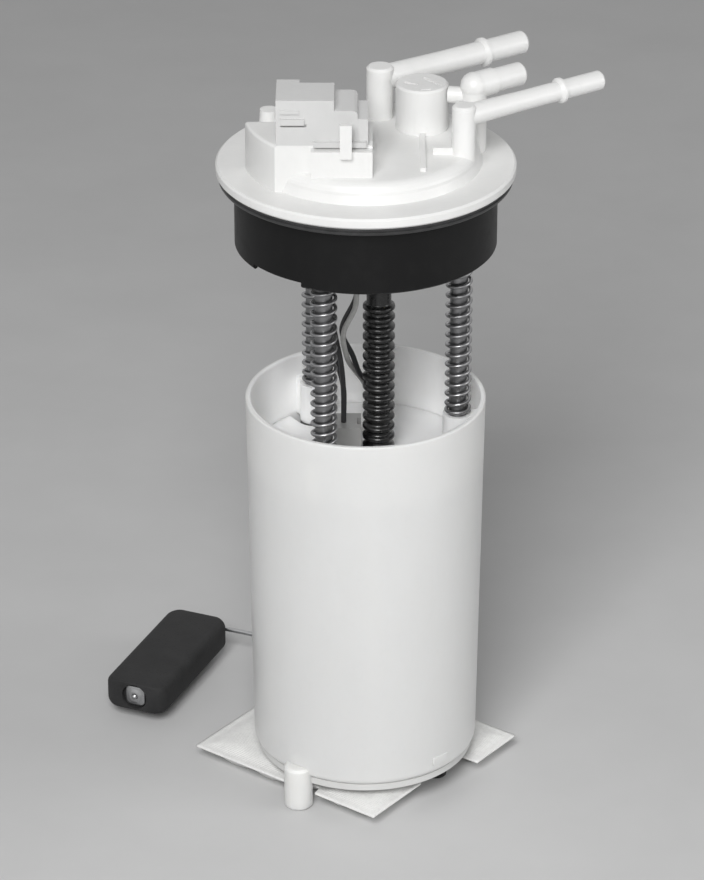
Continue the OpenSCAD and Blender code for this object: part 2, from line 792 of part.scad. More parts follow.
module vent_valve_housing() color("whitesmoke") {
    roof = valve_h - valve_wall;
    translate([valve_x, valve_y, dome_top]) difference() {
        union() {
            difference() {
                union() {
                    cylinder(d = valve_d, h = valve_h - 0.8);
                    translate([0, 0, valve_h - 0.8]) cylinder(d1 = valve_d, d2 = valve_d - 1.6, h = 0.8);
                }
                translate([0, 0, -cut]) cylinder(r = valve_in_r, h = roof + cut);
            }
            translate([0, 0, roof - 1.8]) cylinder(r = 4.2, h = 2);
        }
        translate([0, 0, roof - 2.3]) cylinder(r = 2.3, h = 2.8);
        for (ends = valve_slots) {
            run = ends[1] - ends[0];
            translate([ends[0][0], ends[0][1], valve_h - valve_slot_depth]) rotate(atan2(run[1], run[0])) {
                translate([0, -valve_slot_w / 2, 0]) cube([norm(run), valve_slot_w, valve_slot_depth + cut]);
            }
        }
    }
}

module vent_valve_cage() color("#b8b8b8") {
    translate([valve_x, valve_y, 0]) difference() {
        union() {
            translate([0, 0, cage_bottom_z]) cylinder(r = valve_d / 2, h = cage_floor_t);
            tube(cage_r, cage_r - cage_wall, dome_under - 0.1, dome_top + 3);
        }
        for (k = [0 : 5]) {
            rotate(60 * k) translate([6, 0, cage_bottom_z - cut]) cylinder(r = 1, h = cage_floor_t + 2 * cut);
        }
    }
}

module vent_valve_float() color("#3a6ea5") {
    translate([valve_x, valve_y, vent_float_z]) {
        difference() {
            cylinder(r = vent_float_r, h = vent_float_h);
            translate([0, 0, -cut]) cylinder(r = vent_pocket_r, h = vent_pocket_h + cut);
        }
        translate([0, 0, vent_float_h]) cylinder(r1 = 2.5, r2 = 0.6, h = vent_tip_h);
    }
}

module vent_valve_spring() color("silver") {
    bottom = dome_under + 0.05;
    top = vent_float_z + vent_pocket_h - move_gap;
    translate([valve_x, valve_y, bottom]) coil(top - bottom, 3, 0.5, 1.7, 8, 4);
}

// Guide rods, clips and springs

module guide_rod(turn) color("#b5b8bb") {
    at_rod(turn) {
        translate([0, 0, rod_bottom_z + 0.8]) cylinder(d = rod_d, h = rod_top_z - rod_bottom_z - 0.8);
        translate([0, 0, rod_bottom_z]) cylinder(d1 = rod_d - 1.6, d2 = rod_d, h = 0.8);
    }
}

module rod_clip(turn) color("#8a8d90") {
    at_rod(turn) difference() {
        tube(clip_d / 2, rod_d / 2, clip_top_z - clip_t, clip_top_z);
        translate([rod_d / 2 + 0.6, -0.6, clip_top_z - clip_t - cut]) cube([clip_d, 1.2, clip_t + 2 * cut]);
    }
}

module cover_spring(turn) color("#9a9da0") {
    at_rod(turn) translate([0, 0, spring_bottom_z]) {
        coil(spring_top_z - spring_bottom_z, (spring_d - spring_wire) / 2, spring_wire, spring_pitch,
            spring_steps, spring_sides);
    }
}

// Reservoir

function cup_r(z) = cup_base_d / 2 + (cup_rim_d - cup_base_d) / 2 * (z - cup_bottom_z) / cup_h;

module cup_outside() {
    rotate_extrude($fn = 96) polygon(concat(
        [[0, cup_bottom_z]],
        arc(cup_base_d / 2 - cup_corner_r, cup_bottom_z + cup_corner_r, cup_corner_r, -90, 0, 5),
        [[cup_rim_d / 2, rim_z - 0.5], [cup_rim_d / 2 - 0.5, rim_z], [0, rim_z]]
    ));
    at_sender() block([cup_base_d / 2 - 4, sender_seat], [-sender_w / 2, sender_w / 2],
        [pivot_z - sender_h / 2, pivot_z + sender_h / 2]);
    for (turn = foot_turns) {
        rotate(turn) translate([foot_circle_r, 0, 0]) {
            translate([0, 0, foot_top_z]) cylinder(d1 = foot_d, d2 = foot_d - 2 * foot_edge, h = foot_edge);
            translate([0, 0, cup_bottom_z - 0.5]) cylinder(d = foot_d, h = foot_top_z - cup_bottom_z + 0.5);
        }
    }
    for (turn = lug_turns) {
        rotate(turn) block([cup_base_d / 2 - 2, cup_base_d / 2 + lug_rise], [-4, 4],
            [cup_bottom_z + 4.5, cup_bottom_z + 8]);
    }
}

module cup_inside() {
    rotate_extrude($fn = 96) polygon([
        [0, floor_z], [cup_base_d / 2 - cup_wall - 2, floor_z], [cup_base_d / 2 - cup_wall, floor_z + 2],
        [cup_rim_d / 2 - cup_wall, rim_z - 0.6], [cup_rim_d / 2 - cup_wall + 0.6, rim_z + cut],
            [0, rim_z + cut]
    ]);
}

module guide_boss() {
    translate([0, 0, guide_bottom_z]) cylinder(d = rod_boss_d, h = guide_h);
    block([0, 9], [-3.5, 3.5], [guide_bottom_z, guide_top_z]);
}

module cup_inner_parts() {
    intersection() {
        union() {
            for (turn = rod_turns) {
                at_rod(turn) guide_boss();
            }
            for (turn = rib_turns) {
                rotate(turn) block([cup_base_d / 2 - cup_wall - rib_depth, cup_rim_d / 2],
                    [-rib_t / 2, rib_t / 2],
                    [floor_z - 0.5, platform_z - platform_t]);
            }
            at_pump() {
                tube(cradle_in_r + cradle_wall, cradle_in_r, floor_z - 0.5, cradle_z + cradle_h);
                tube(cradle_in_r + 0.5, pump_r - 1.5, cradle_z - 3, cradle_z);
            }
        }
        translate([0, 0, cup_bottom_z + 1])
            cylinder(r1 = cup_r(cup_bottom_z + 1) - 1, r2 = cup_r(rim_z) - 1, h = cup_h);
    }
}

module reservoir_cup() color("ivory") {
    difference() {
        union() {
            difference() {
                cup_outside();
                cup_inside();
            }
            cup_inner_parts();
            for (turn = foot_turns) {
                rotate(turn) translate([foot_circle_r, 0, ground_z]) {
                    translate([0, 0, 1]) cylinder(d = foot_d, h = cup_bottom_z + 0.2 - ground_z - 1);
                    cylinder(d1 = foot_d - 2, d2 = foot_d, h = 1);
                }
            }
        }
        for (turn = rod_turns) {
            at_rod(turn) translate([0, 0, guide_bottom_z - cut]) {
                cylinder(d = guide_bore_d, h = guide_h + 2 * cut);
            }
        }
        at_pump() {
            translate([0, 0, cup_bottom_z - cut]) cylinder(r = neck_d / 2 + port_gap, h = floor_t + 2 * cut);
            for (k = [0 : 2]) {
                rotate(60 + 120 * k) block([pump_r - 4, cradle_in_r + cradle_wall + 1], [-5, 5],
                    [floor_z + 0.1, cradle_z - 3.5]);
            }
        }
        rotate(sock_turn) translate([fill_v, fill_w, cup_bottom_z - cut]) {
            cylinder(r = fill_stem_r + fit_gap, h = floor_t + 2 * cut);
            for (k = [0 : 5]) {
                rotate(60 * k) translate([fill_hole_circle_r, 0, 0]) {
                    cylinder(r = fill_hole_r, h = floor_t + 2 * cut);
                }
            }
        }
        at_sender() translate([0, 0, tail_wall_z]) bar_x(3.5, cup_base_d / 2 - 6, sender_seat + cut);
    }
}

module base_cap() color("#d8d8d4") {
    difference() {
        union() {
            translate([0, 0, cup_bottom_z - cap_disc_t]) cylinder(d = base_cap_d, h = cap_disc_t, $fn = 96);
            tube(base_cap_d / 2, base_cap_d / 2 - 2, base_cap_z, cup_bottom_z - 1);
            for (turn = [0, 60, 120]) {
                rotate(turn + 23) block([-base_cap_d / 2 + 1, base_cap_d / 2 - 1], [-0.9, 0.9],
                    [base_cap_z, cup_bottom_z - 1]);
            }
            at_pump() tube(neck_d / 2 + port_gap + 2, neck_d / 2 + port_gap, base_cap_z, cup_bottom_z - 1);
        }
        for (turn = foot_turns) {
            rotate(turn) translate([foot_circle_r, 0, base_cap_z - cut]) {
                cylinder(d = foot_d + 2 * fit_gap, h = base_cap_t + 2 * cut);
            }
        }
        at_pump() translate([0, 0, base_cap_z - cut])
            cylinder(r = neck_d / 2 + port_gap, h = base_cap_t + 2 * cut);
        rotate(sock_turn) translate([fill_v, fill_w, base_cap_z - cut]) {
            cylinder(r = fill_r + fit_gap, h = base_cap_t - cap_disc_t + cut);
            cylinder(r = fill_r - fill_wall - 0.2, h = base_cap_t + 2 * cut);
        }
    }
}

module fill_valve_cage() color("#151515") {
    rotate(sock_turn) translate([fill_v, fill_w, base_cap_z - fill_h]) difference() {
        union() {
            cylinder(r = fill_r, h = fill_floor_t);
            tube(fill_r, fill_r - fill_wall, 0, fill_h + base_cap_t - cap_disc_t);
        }
        for (k = [0 : 2]) {
            rotate(60 * k + 30) translate([-fill_r - 1, -fill_window / 2, fill_floor_t]) {
                cube([2 * fill_r + 2, fill_window, fill_h - fill_floor_t - 1]);
            }
        }
    }
}

module fill_valve_disc() color("#222222") {
    rotate(sock_turn) translate([fill_v, fill_w, 0]) {
        translate([0, 0, floor_z]) cylinder(r1 = fill_r - 0.8, r2 = fill_r - 2.4, h = 1.2);
        translate([0, 0, cup_bottom_z - 3]) cylinder(r = fill_stem_r, h = floor_t + 3.2);
    }
}

module pump_retainer() color("#f0f0ea") {
    under = platform_z - platform_t;
    difference() {
        union() {
            translate([0, 0, under])
                cylinder(r = cup_r(under) - cup_wall - move_gap, h = platform_t, $fn = 96);
            at_pump() {
                tube(retainer_in_r + retainer_wall, retainer_in_r, retainer_lip_z, under + 0.5);
                tube(retainer_in_r + 0.5, lip_in_r, retainer_lip_z, retainer_lip_z + retainer_lip_t);
            }
        }
        for (turn = rod_turns) {
            at_rod(turn) translate([0, 0, under - cut])
                cylinder(r = clip_d / 2 + 1.5, h = platform_t + 2 * cut);
            at_rod(turn) block([0, 12], [-clip_d / 2 - 1.5, clip_d / 2 + 1.5],
                [under - cut, platform_z + cut]);
        }
        translate([hose_x, hose_y, under - cut]) cylinder(r = hose_d / 2 + 1, h = platform_t + 2 * cut);
        block([lead_block_x + 1.1, lead_block_x + 6.1], [lead_block_y + 3, lead_block_y + 13],
            [under - cut, platform_z + cut]);
        at_grommet() translate([0, 0, under - cut]) cylinder(r = grommet_r, h = platform_t + 2 * cut);
        at_pump() for (k = [0 : 2]) {
            rotate(120 * k + 90) block([lip_in_r + 3, retainer_in_r + retainer_wall + 1], [-7, 7],
                [retainer_lip_z + retainer_lip_t + 2, under - 5]);
        }
    }
}

// Supply hose

function hose_outline(inset) = concat(
    [[hose_cuff_r - inset, hose_bottom_z]],
    [for (k = [0 : hose_ridges - 1]) each [
        [hose_root_d / 2 - inset, hose_ridge_z + hose_pitch * k + 0.1 * hose_pitch],
        [hose_d / 2 - inset, hose_ridge_z + hose_pitch * k + 0.3 * hose_pitch],
        [hose_d / 2 - inset, hose_ridge_z + hose_pitch * k + 0.7 * hose_pitch],
        [hose_root_d / 2 - inset, hose_ridge_z + hose_pitch * k + 0.9 * hose_pitch]
    ]],
    [[hose_cuff_r - inset, hose_top_z]]
);

module supply_hose() color("#141414") {
    outside = hose_outline(0);
    inside = hose_outline(hose_cuff_r - hose_bore_r);
    count = len(inside);
    translate([hose_x, hose_y, 0]) rotate_extrude() polygon(concat(
        outside, [for (i = [count - 1 : -1 : 0]) inside[i]]
    ));
}

// Leads

module lead_connector() color("#a9a9a6") {
    difference() {
        block([lead_block_x, lead_block_x + lead_block_w], [lead_block_y, lead_block_y + lead_block_d],
            [platform_z, lead_block_top]);
        block([lead_block_x + lead_block_w - 1.6, lead_block_x + lead_block_w + cut],
            [lead_block_y + 4, lead_block_y + 10], [lead_block_top - 6, lead_block_top + cut]);
    }
}

module lead_grommet() color("#2a2a2a") {
    at_grommet() {
        translate([0, 0, grommet_bottom]) cylinder(r = grommet_r, h = grommet_top - grommet_bottom);
        translate([0, 0, platform_z]) cylinder(r = grommet_r + 1, h = grommet_rise);
    }
}

module pump_lead_live() color("#4a4a4a") lead(live_route, 2);

module pump_lead_earth() color("#202020") lead(earth_route, 2);

module sender_lead_signal() color("#b0b0b0") lead(signal_route, 2);

module sender_lead_earth() color("#303030") lead(sender_earth_route, 2);

module pump_jumper(y, side) {
    lead([
        [lead_block_x + 3.6, y, platform_z], [lead_block_x + 3, y + side / 2, platform_z - 9],
        [pump_x - 7, pump_y + 4.6 * side, terminal_top + 7], [pump_x - 7, pump_y + 5 * side, terminal_top]
    ], 1);
}

module pump_jumper_live() color("#4a4a4a") pump_jumper(0, -1);

module pump_jumper_earth() color("#202020") pump_jumper(4, 1);

// A sender lead from the grommet round the inside of the wall and out through it
module sender_tail(side) {
    lead([
        for (p = [
            [grommet_turn, grommet_circle_r, grommet_bottom],
            [grommet_turn, grommet_circle_r + 0.6, grommet_bottom - 10],
            [(grommet_turn + sender_turn) / 2, tail_r, (grommet_bottom + tail_wall_z) / 2],
            [sender_turn, tail_r, tail_wall_z + 11], [sender_turn, tail_r + 2, tail_wall_z + 1.2],
            [sender_turn, sender_seat, tail_wall_z]
        ]) p[1] * [cos(p[0]), sin(p[0]), 0] + side * tail_side * [-sin(p[0]), cos(p[0]), 0] + [0, 0, p[2]]
    ], 1, [cos(sender_turn), sin(sender_turn), 0]);
}

module sender_tail_signal() color("#b0b0b0") sender_tail(1);

module sender_tail_earth() color("#303030") sender_tail(-1);

// Pump

module pump_can() color("#b9bcc0") {
    at_pump() tube(pump_r, pump_r - can_wall, can_bottom_z, can_top_z);
}

module pump_inlet_cap() color("#2c2c2c") {
    inside = pump_r - can_wall;
    at_pump() difference() {
        union() {
            translate([0, 0, can_bottom_z]) cylinder(r = inside, h = inlet_cap_h);
            translate([0, 0, inlet_end_z]) cylinder(r = inlet_r, h = can_bottom_z - inlet_end_z + 1);
        }
        translate([0, 0, chamber_floor_z - 5]) cylinder(r = shaft_r + run_gap, h = 5 + cut);
        // Inlet channel up to the impeller's vanes
        translate([0, 0, inlet_end_z - cut]) cylinder(r = inlet_r - 1.5, h = can_bottom_z - inlet_end_z + 3);
        translate([9, 0, can_bottom_z + 1]) cylinder(r = 3, h = inlet_cap_h);
        block([0, 9], [-2.5, 2.5], [can_bottom_z + 1, can_bottom_z + 3]);
    }
}

module pump_impeller() color("#4d4032") {
    rim_r = pump_r - can_wall - 2;
    at_pump() translate([0, 0, chamber_floor_z + move_gap]) difference() {
        cylinder(r = rim_r, h = impeller_t);
        translate([0, 0, -cut]) cylinder(r = shaft_r, h = impeller_t + 2 * cut);
        for (k = [0 : impeller_vanes - 1]) {
            rotate(360 * k / impeller_vanes) translate([rim_r - 3, -0.8, -cut]) {
                cube([4, 1.6, impeller_t + 2 * cut]);
            }
        }
    }
}

module pump_chamber_plate() color("#3a3a3a") {
    inside = pump_r - can_wall;
    at_pump() {
        difference() {
            translate([0, 0, chamber_roof_z]) cylinder(r = inside, h = chamber_plate_t);
            translate([0, 0, chamber_roof_z - cut])
                cylinder(r = shaft_r + run_gap, h = chamber_plate_t + 2 * cut);
            rotate(200) translate([9, 0, chamber_roof_z - cut])
                cylinder(r = 3, h = chamber_plate_t + 2 * cut);
        }
        tube(inside, inside - 1.5, chamber_floor_z, chamber_roof_z);
    }
}

module motor_magnets() color("#3f4245") {
    inside = pump_r - can_wall;
    at_pump() for (side = [0, 180]) {
        rotate(side + 20) translate([0, 0, armature_z - 2]) {
            rotate_extrude(angle = 140) translate([inside - magnet_t, 0]) square([magnet_t, armature_h + 4]);
        }
    }
}

module motor_armature() color("#9c5a2c") {
    at_pump() translate([0, 0, armature_z]) difference() {
        cylinder(d = armature_d, h = armature_h);
        translate([0, 0, -cut]) cylinder(r = shaft_r, h = armature_h + 2 * cut);
        for (k = [0 : 7]) {
            rotate(45 * k) translate([armature_d / 2 - 5, -0.9, -cut]) cube([6, 1.8, armature_h + 2 * cut]);
        }
    }
}

module motor_commutator() color("#b87333") {
    at_pump() translate([0, 0, armature_z + armature_h]) difference() {
        cylinder(r = commutator_r, h = commutator_h);
        translate([0, 0, -cut]) cylinder(r = shaft_r, h = commutator_h + 2 * cut);
        for (k = [0 : 7]) {
            rotate(45 * k) translate([commutator_r - 1.5, -0.25, -cut])
                cube([2, 0.5, commutator_h + 2 * cut]);
        }
    }
}

module rotor_shaft() color("#c5c8cb") {
    bottom = chamber_floor_z - 4.7;
    at_pump() translate([0, 0, bottom]) cylinder(r = shaft_r, h = outlet_cap_z + 4 - bottom);
}

module motor_brushes() color("#2a2a2a") {
    inner = commutator_r + move_gap;
    at_pump() for (side = [0, 180]) {
        rotate(side) block([inner, inner + brush_w], [-2.2, 2.2],
            [armature_z + armature_h + 1, outlet_cap_z]);
    }
}

module pump_outlet_cap() color("#1e1e1e") {
    inside = pump_r - can_wall;
    at_pump() difference() {
        union() {
            translate([0, 0, outlet_cap_z]) cylinder(r = inside, h = can_top_z - outlet_cap_z + 0.5);
            translate([0, 0, can_top_z]) cylinder(r = pump_r - 0.4, h = outlet_rim_t);
            translate([nozzle_off, 0, can_top_z]) cylinder(r = nozzle_r, h = nozzle_top_z - can_top_z);
            translate([nozzle_off, 0, can_top_z]) cylinder(r = nozzle_r + 2, h = outlet_rim_t + 4);
            for (k = [1 : 2]) {
                translate([nozzle_off, 0, nozzle_top_z - 4 * k]) {
                    cylinder(r1 = nozzle_r + nozzle_barb, r2 = nozzle_r, h = 2);
                }
            }
        }
        translate([0, 0, outlet_cap_z - cut]) cylinder(r = shaft_r + run_gap, h = 5 + cut);
        translate([nozzle_off, 0, outlet_cap_z - cut])
            cylinder(r = 1.5, h = nozzle_top_z - outlet_cap_z + 2 * cut);
        // Chamber of the check ball, with a coned seat below it and a lip above its spring
        translate([nozzle_off, 0, ball_z - 1]) {
            cylinder(r = nozzle_bore_r, h = nozzle_top_z - check_lip_t - ball_z + 1);
        }
        translate([nozzle_off, 0, ball_z - 2.6]) cylinder(r1 = 1.5, r2 = nozzle_bore_r, h = 1.7);
        translate([nozzle_off, 0, nozzle_top_z - check_lip_t - cut])
            cylinder(r = 1.7, h = check_lip_t + 2 * cut);
    }
}

module check_ball() color("#dddddd") {
    translate([hose_x, hose_y, ball_z]) sphere(r = ball_r);
}

module check_spring() color("silver") {
    bottom = ball_z + ball_r + 0.1;
    top = nozzle_top_z - check_lip_t - 0.05;
    translate([hose_x, hose_y, bottom]) coil(top - bottom, 2.1, 0.4, 1.2, 8, 4);
}

module pump_terminals() color("#c9a227") {
    for (side = [-1, 1]) {
        translate([pump_x - 7 - 2, pump_y + 5 * side - 0.4, outlet_face_z]) cube([4, 0.8, terminal_h]);
    }
}

module isolator_lower() color("#1c1c1c") {
    at_pump() {
        tube(cradle_in_r - fit_gap, pump_r + fit_gap / 2, cradle_z + 0.5, cradle_z + 17);
        tube(cradle_in_r - fit_gap, pump_r - 4, cradle_z, cradle_z + isolator_t);
    }
}

module isolator_upper() color("#1c1c1c") {
    at_pump() tube(pump_r + 1.2, lip_in_r + 0.5, outlet_face_z, retainer_lip_z);
}

// Strainer

// The sock's outline drawn in from its edge by a margin. The two feet stand in notches with
// slanted sides, and the fill valve hangs in the wide notch at the front right.
function sock_outline(m) = [
    [sock_v[0] + m, sock_w[0] + m], [-sock_notch - 1 - m, sock_w[0] + m],
    [-sock_notch - m, -sock_notch_w + m], [sock_notch + m, -sock_notch_w + m],
    [sock_notch + 1 + m, sock_w[0] + m], [sock_v[2] - m, sock_w[0] + m],
    [sock_v[2] - m, sock_w[1] - m], [sock_v[1] - m, sock_w[1] - m],
    [sock_v[1] - m, sock_w[2] + m], [sock_v[3] - m, sock_w[2] + m],
    [sock_v[3] - m, sock_w[3] - m], [sock_notch + 1 + m, sock_w[3] - m],
    [sock_notch + m, sock_notch_w - m], [-sock_notch - m, sock_notch_w - m],
    [-sock_notch - 1 - m, sock_w[3] - m], [sock_v[0] + m, sock_w[3] - m]
];
sock_patches = [
    [0, 1, 14, 15], [1, 2, 13, 14], [2, 3, 12, 13], [3, 4, 11, 12],
        [4, 7, 8, 11], [4, 5, 6, 7], [8, 9, 10, 11]
];

module strainer_sock() color("#f4f4f0") {
    low = sock_seam_z - sock_seam_t / 2;
    high = sock_seam_z + sock_seam_t / 2;
    rise = sock_top_z - high;
    belly = sock_seam_h * 0.4;
    rotate(sock_turn) difference() {
        skin([
            at_height(sock_outline(sock_shoulder), sock_bottom_z),
            at_height(sock_outline(sock_seam + 2), sock_bottom_z + belly),
            at_height(sock_outline(sock_seam), low - 0.3),
            at_height(sock_outline(0), low),
            at_height(sock_outline(0), high),
            at_height(sock_outline(sock_seam), high + 0.1),
            at_height(sock_outline(sock_seam + 2), high + rise * 0.6),
            at_height(sock_outline(sock_shoulder), sock_top_z)
        ], sock_patches);
        skin([
            at_height(sock_outline(sock_shoulder + 0.5), sock_bottom_z + sock_cloth),
            at_height(sock_outline(sock_seam + 2.8), sock_bottom_z + belly + sock_cloth),
            at_height(sock_outline(sock_seam + 1.2), sock_seam_z - 0.6),
            at_height(sock_outline(sock_seam + 1.2), sock_seam_z - 0.1),
            at_height(sock_outline(sock_shoulder + 0.5), sock_top_z - sock_cloth)
        ], sock_patches);
        rotate(-sock_turn) at_pump() translate([0, 0, sock_seam_z]) {
            cylinder(r = neck_d / 2 + fit_gap, h = sock_t);
        }
    }
}

module strainer_frame() color("#e6e6e0") {
    rib_low = sock_bottom_z + sock_cloth + 0.2;
    rib_high = sock_top_z - sock_cloth - 0.1;
    difference() {
        union() {
            at_pump() {
                translate([0, 0, sock_top_z - sock_cloth - 1]) {
                    cylinder(d = neck_d, h = neck_top_z - sock_top_z + sock_cloth + 1);
                }
                translate([0, 0, sock_top_z + 0.05]) cylinder(r = neck_flange_r, h = neck_flange_t);
                translate([0, 0, rib_high - 1]) cylinder(r = neck_flange_r, h = 1);
            }
            rotate(sock_turn) {
                block([frame_ribs[0] - 2, frame_ribs[3] + 4], [-1, 1], [rib_low, rib_high]);
                for (v = frame_ribs) {
                    block([v - 1, v + 1], [-frame_half_w, frame_half_w], [rib_low, rib_high]);
                }
            }
        }
        at_pump() translate([0, 0, rib_low + 1.5]) cylinder(r = neck_bore_r, h = neck_top_z - rib_low);
    }
}

module strainer_grommet() color("#1c1c1c") {
    at_pump() tube(neck_d / 2 + 3, neck_d / 2, floor_z, floor_z + 4);
}

// Level sender

module sender_housing() color("#191919") {
    half_w = sender_w / 2;
    half_h = sender_h / 2;
    plate_end = sender_seat + sender_plate;
    at_sender() translate([0, 0, pivot_z]) {
        difference() {
            block([sender_seat, plate_end + sender_rim], [-half_w, half_w], [-half_h, half_h]);
            block([plate_end, plate_end + sender_rim + cut],
                [-half_w + sender_rim_wall, half_w - sender_rim_wall],
                [-half_h + sender_rim_wall, half_h - sender_rim_wall]);
        }
        bar_x(pin_r, plate_end - 0.5, pin_end);
        // Stops for the arm: the lower one carries it when the tank is empty
        for (stop = [[-arm_fall, -1], [arm_swing - arm_fall, 1]]) {
            translate([0, stop_along * cos(stop[0]) - stop[1] * stop_off * sin(stop[0]),
                stop_along * sin(stop[0]) + stop[1] * stop_off * cos(stop[0])]) {
                bar_x(stop_r, plate_end - 0.5, arm_u + arm_wire / 2 + 0.4);
            }
        }
    }
}

module sender_card() color("#e8e4d8") {
    plate_end = sender_seat + sender_plate;
    at_sender() block([plate_end, plate_end + card_t], [-card_off, -card_off + card_w],
        [pivot_z - card_h / 2, pivot_z + card_h / 2]);
}

module sender_wiper() color("#e0e0e0") {
    at_sender() translate([0, 0, pivot_z]) rotate([-arm_fall, 0, 0]) {
        difference() {
            union() {
                bar_x(hub_r, hub_start, hub_end);
                // Contact arm that sweeps over the card, on the far side from the float
                block([hub_start - 0.2, hub_start + 1.4], [-9, 0], [-2, 2]);
            }
            bar_x(pin_r + run_gap, hub_start - 1, hub_end);
        }
        difference() {
            block([hub_end, grip_end], [-grip_l / 2, grip_l / 2], [-grip_half, grip_half]);
            translate([arm_u, grip_l, 0]) rotate([90, 0, 0]) cylinder(r = arm_wire / 2, h = 2 * grip_l);
        }
    }
}

// A wire between two points of the sender's frame
module wire(a, b) {
    d = b - a;
    turn = atan2(d[1], d[0]);
    tilt = atan2(norm([d[0], d[1]]), d[2]);
    translate(a) rotate([0, tilt, turn]) cylinder(d = arm_wire, h = norm(d));
}

module float_arm() color("#b5b8bb") {
    start = [arm_u, -grip_l / 2 * cos(arm_fall), pivot_z + grip_l / 2 * sin(arm_fall)];
    knee = [arm_u, knee_reach, float_wire_z];
    corner = [arm_u, arm_reach, float_wire_z];
    end = [wire_end_u, arm_reach, float_wire_z];
    at_sender() {
        wire(start, knee);
        wire(knee, corner);
        wire(corner, end);
        translate(knee) sphere(d = arm_wire + 0.1);
        translate(corner) sphere(d = arm_wire + 0.1);
    }
}

module push_nut() color("#cfd2d5") {
    at_sender() translate([0, arm_reach, float_wire_z]) difference() {
        union() {
            bar_x(nut_r, nut_u - nut_t, nut_u);
            bar_x(nut_hub_r, nut_u - nut_t - 0.8, nut_u - nut_t + 0.1);
        }
        bar_x(arm_wire / 2, nut_u - nut_t - 2, nut_u + cut);
    }
}

module float() color("#2b2b2b") {
    half_t = float_t / 2;
    e = float_edge;
    plan = [for (m = [0, e]) round_rect(float_l / 2 - m, float_w / 2 - m, float_corner_r - m, 5)];
    at_sender() difference() {
        translate([float_far_u - float_l / 2, arm_reach, float_wire_z]) skin([
            at_height(plan[1], -half_t), at_height(plan[0], -half_t + e),
            at_height(plan[0], half_t - e), at_height(plan[1], half_t)
        ]);
        translate([0, arm_reach, float_wire_z]) {
            bar_x(float_bore_r, float_near_u - cut, float_far_u + cut);
            bar_x(nut_pocket_r, float_near_u - cut, float_near_u + nut_pocket_depth);
        }
    }
}

cover_moulding();
cover_skirt();
tank_seal();
connector_shell();
connector_blades();
vent_valve_housing();
vent_valve_cage();
vent_valve_float();
vent_valve_spring();
guide_rod(rod_turns[0]);  // guide_rod_right
guide_rod(rod_turns[1]);  // guide_rod_rear
guide_rod(rod_turns[2]);  // guide_rod_front
rod_clip(rod_turns[0]);  // rod_clip_right
rod_clip(rod_turns[1]);  // rod_clip_rear
rod_clip(rod_turns[2]);  // rod_clip_front
cover_spring(rod_turns[0]);  // cover_spring_right
cover_spring(rod_turns[1]);  // cover_spring_rear
cover_spring(rod_turns[2]);  // cover_spring_front
reservoir_cup();
base_cap();
pump_retainer();
supply_hose();
lead_connector();
lead_grommet();
pump_lead_live();
pump_lead_earth();
sender_lead_signal();
sender_lead_earth();
pump_jumper_live();
pump_jumper_earth();
sender_tail_signal();
sender_tail_earth();
pump_can();
pump_inlet_cap();
pump_chamber_plate();
pump_outlet_cap();
pump_terminals();
isolator_lower();
isolator_upper();
motor_magnets();
motor_brushes();
pump_impeller();
motor_armature();
motor_commutator();
rotor_shaft();
check_ball();
check_spring();
strainer_sock();
strainer_frame();
strainer_grommet();
fill_valve_cage();
fill_valve_disc();
sender_housing();
sender_card();
sender_wiper();
float_arm();
push_nut();
float();
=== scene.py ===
import json
import math

import bpy
import numpy as np
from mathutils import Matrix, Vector


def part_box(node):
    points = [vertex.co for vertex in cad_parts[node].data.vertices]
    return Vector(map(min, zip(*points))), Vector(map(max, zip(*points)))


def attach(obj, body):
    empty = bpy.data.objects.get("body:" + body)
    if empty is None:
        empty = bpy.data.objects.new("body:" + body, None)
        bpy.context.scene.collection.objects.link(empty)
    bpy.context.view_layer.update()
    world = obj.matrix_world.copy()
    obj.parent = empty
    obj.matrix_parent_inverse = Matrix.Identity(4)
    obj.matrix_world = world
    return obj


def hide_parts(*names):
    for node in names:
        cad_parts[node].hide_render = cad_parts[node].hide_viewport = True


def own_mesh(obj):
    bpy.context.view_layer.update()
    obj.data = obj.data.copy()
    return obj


# %% [markdown]
# The frame: a fuel pump module
#
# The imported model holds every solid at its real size, in metres, with +Z up and the origin at the
# centre of the seal's underside. A scene could model the whole object again, but then each piece
# would have to be fitted to the moving parts by hand. So the solids stay as the frame, and new
# surfaces are made only where a solid is plainer than the real piece.

# %% Load the frame
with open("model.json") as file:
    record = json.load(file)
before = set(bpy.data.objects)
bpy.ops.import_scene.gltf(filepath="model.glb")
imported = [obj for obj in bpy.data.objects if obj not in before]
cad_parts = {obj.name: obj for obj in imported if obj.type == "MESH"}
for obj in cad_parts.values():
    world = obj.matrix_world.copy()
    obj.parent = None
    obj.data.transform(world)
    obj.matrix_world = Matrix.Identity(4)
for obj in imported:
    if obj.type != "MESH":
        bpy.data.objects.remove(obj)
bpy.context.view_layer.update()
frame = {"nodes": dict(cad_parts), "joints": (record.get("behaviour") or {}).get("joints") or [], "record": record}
MM = 0.001
slides = [joint for joint in frame["joints"] if joint["type"] == "slide"]
travel = {joint["name"]: joint["range_m"][1] for joint in slides}
slots = {part["node"]: part["material_slot"] for part in frame["record"]["subparts"]}

# %% [markdown]
# The camera
#
# The photograph looks down at the module from the front, from far enough away that the rods stay
# nearly parallel. A camera can be matched by eye, or from known lengths: here the round flange is
# seen as an ellipse, and its two widths give the angle. A long lens at 1.64 m does the rest. It
# stands on a line through the module's own axis, and is then aimed a little off it for the framing.

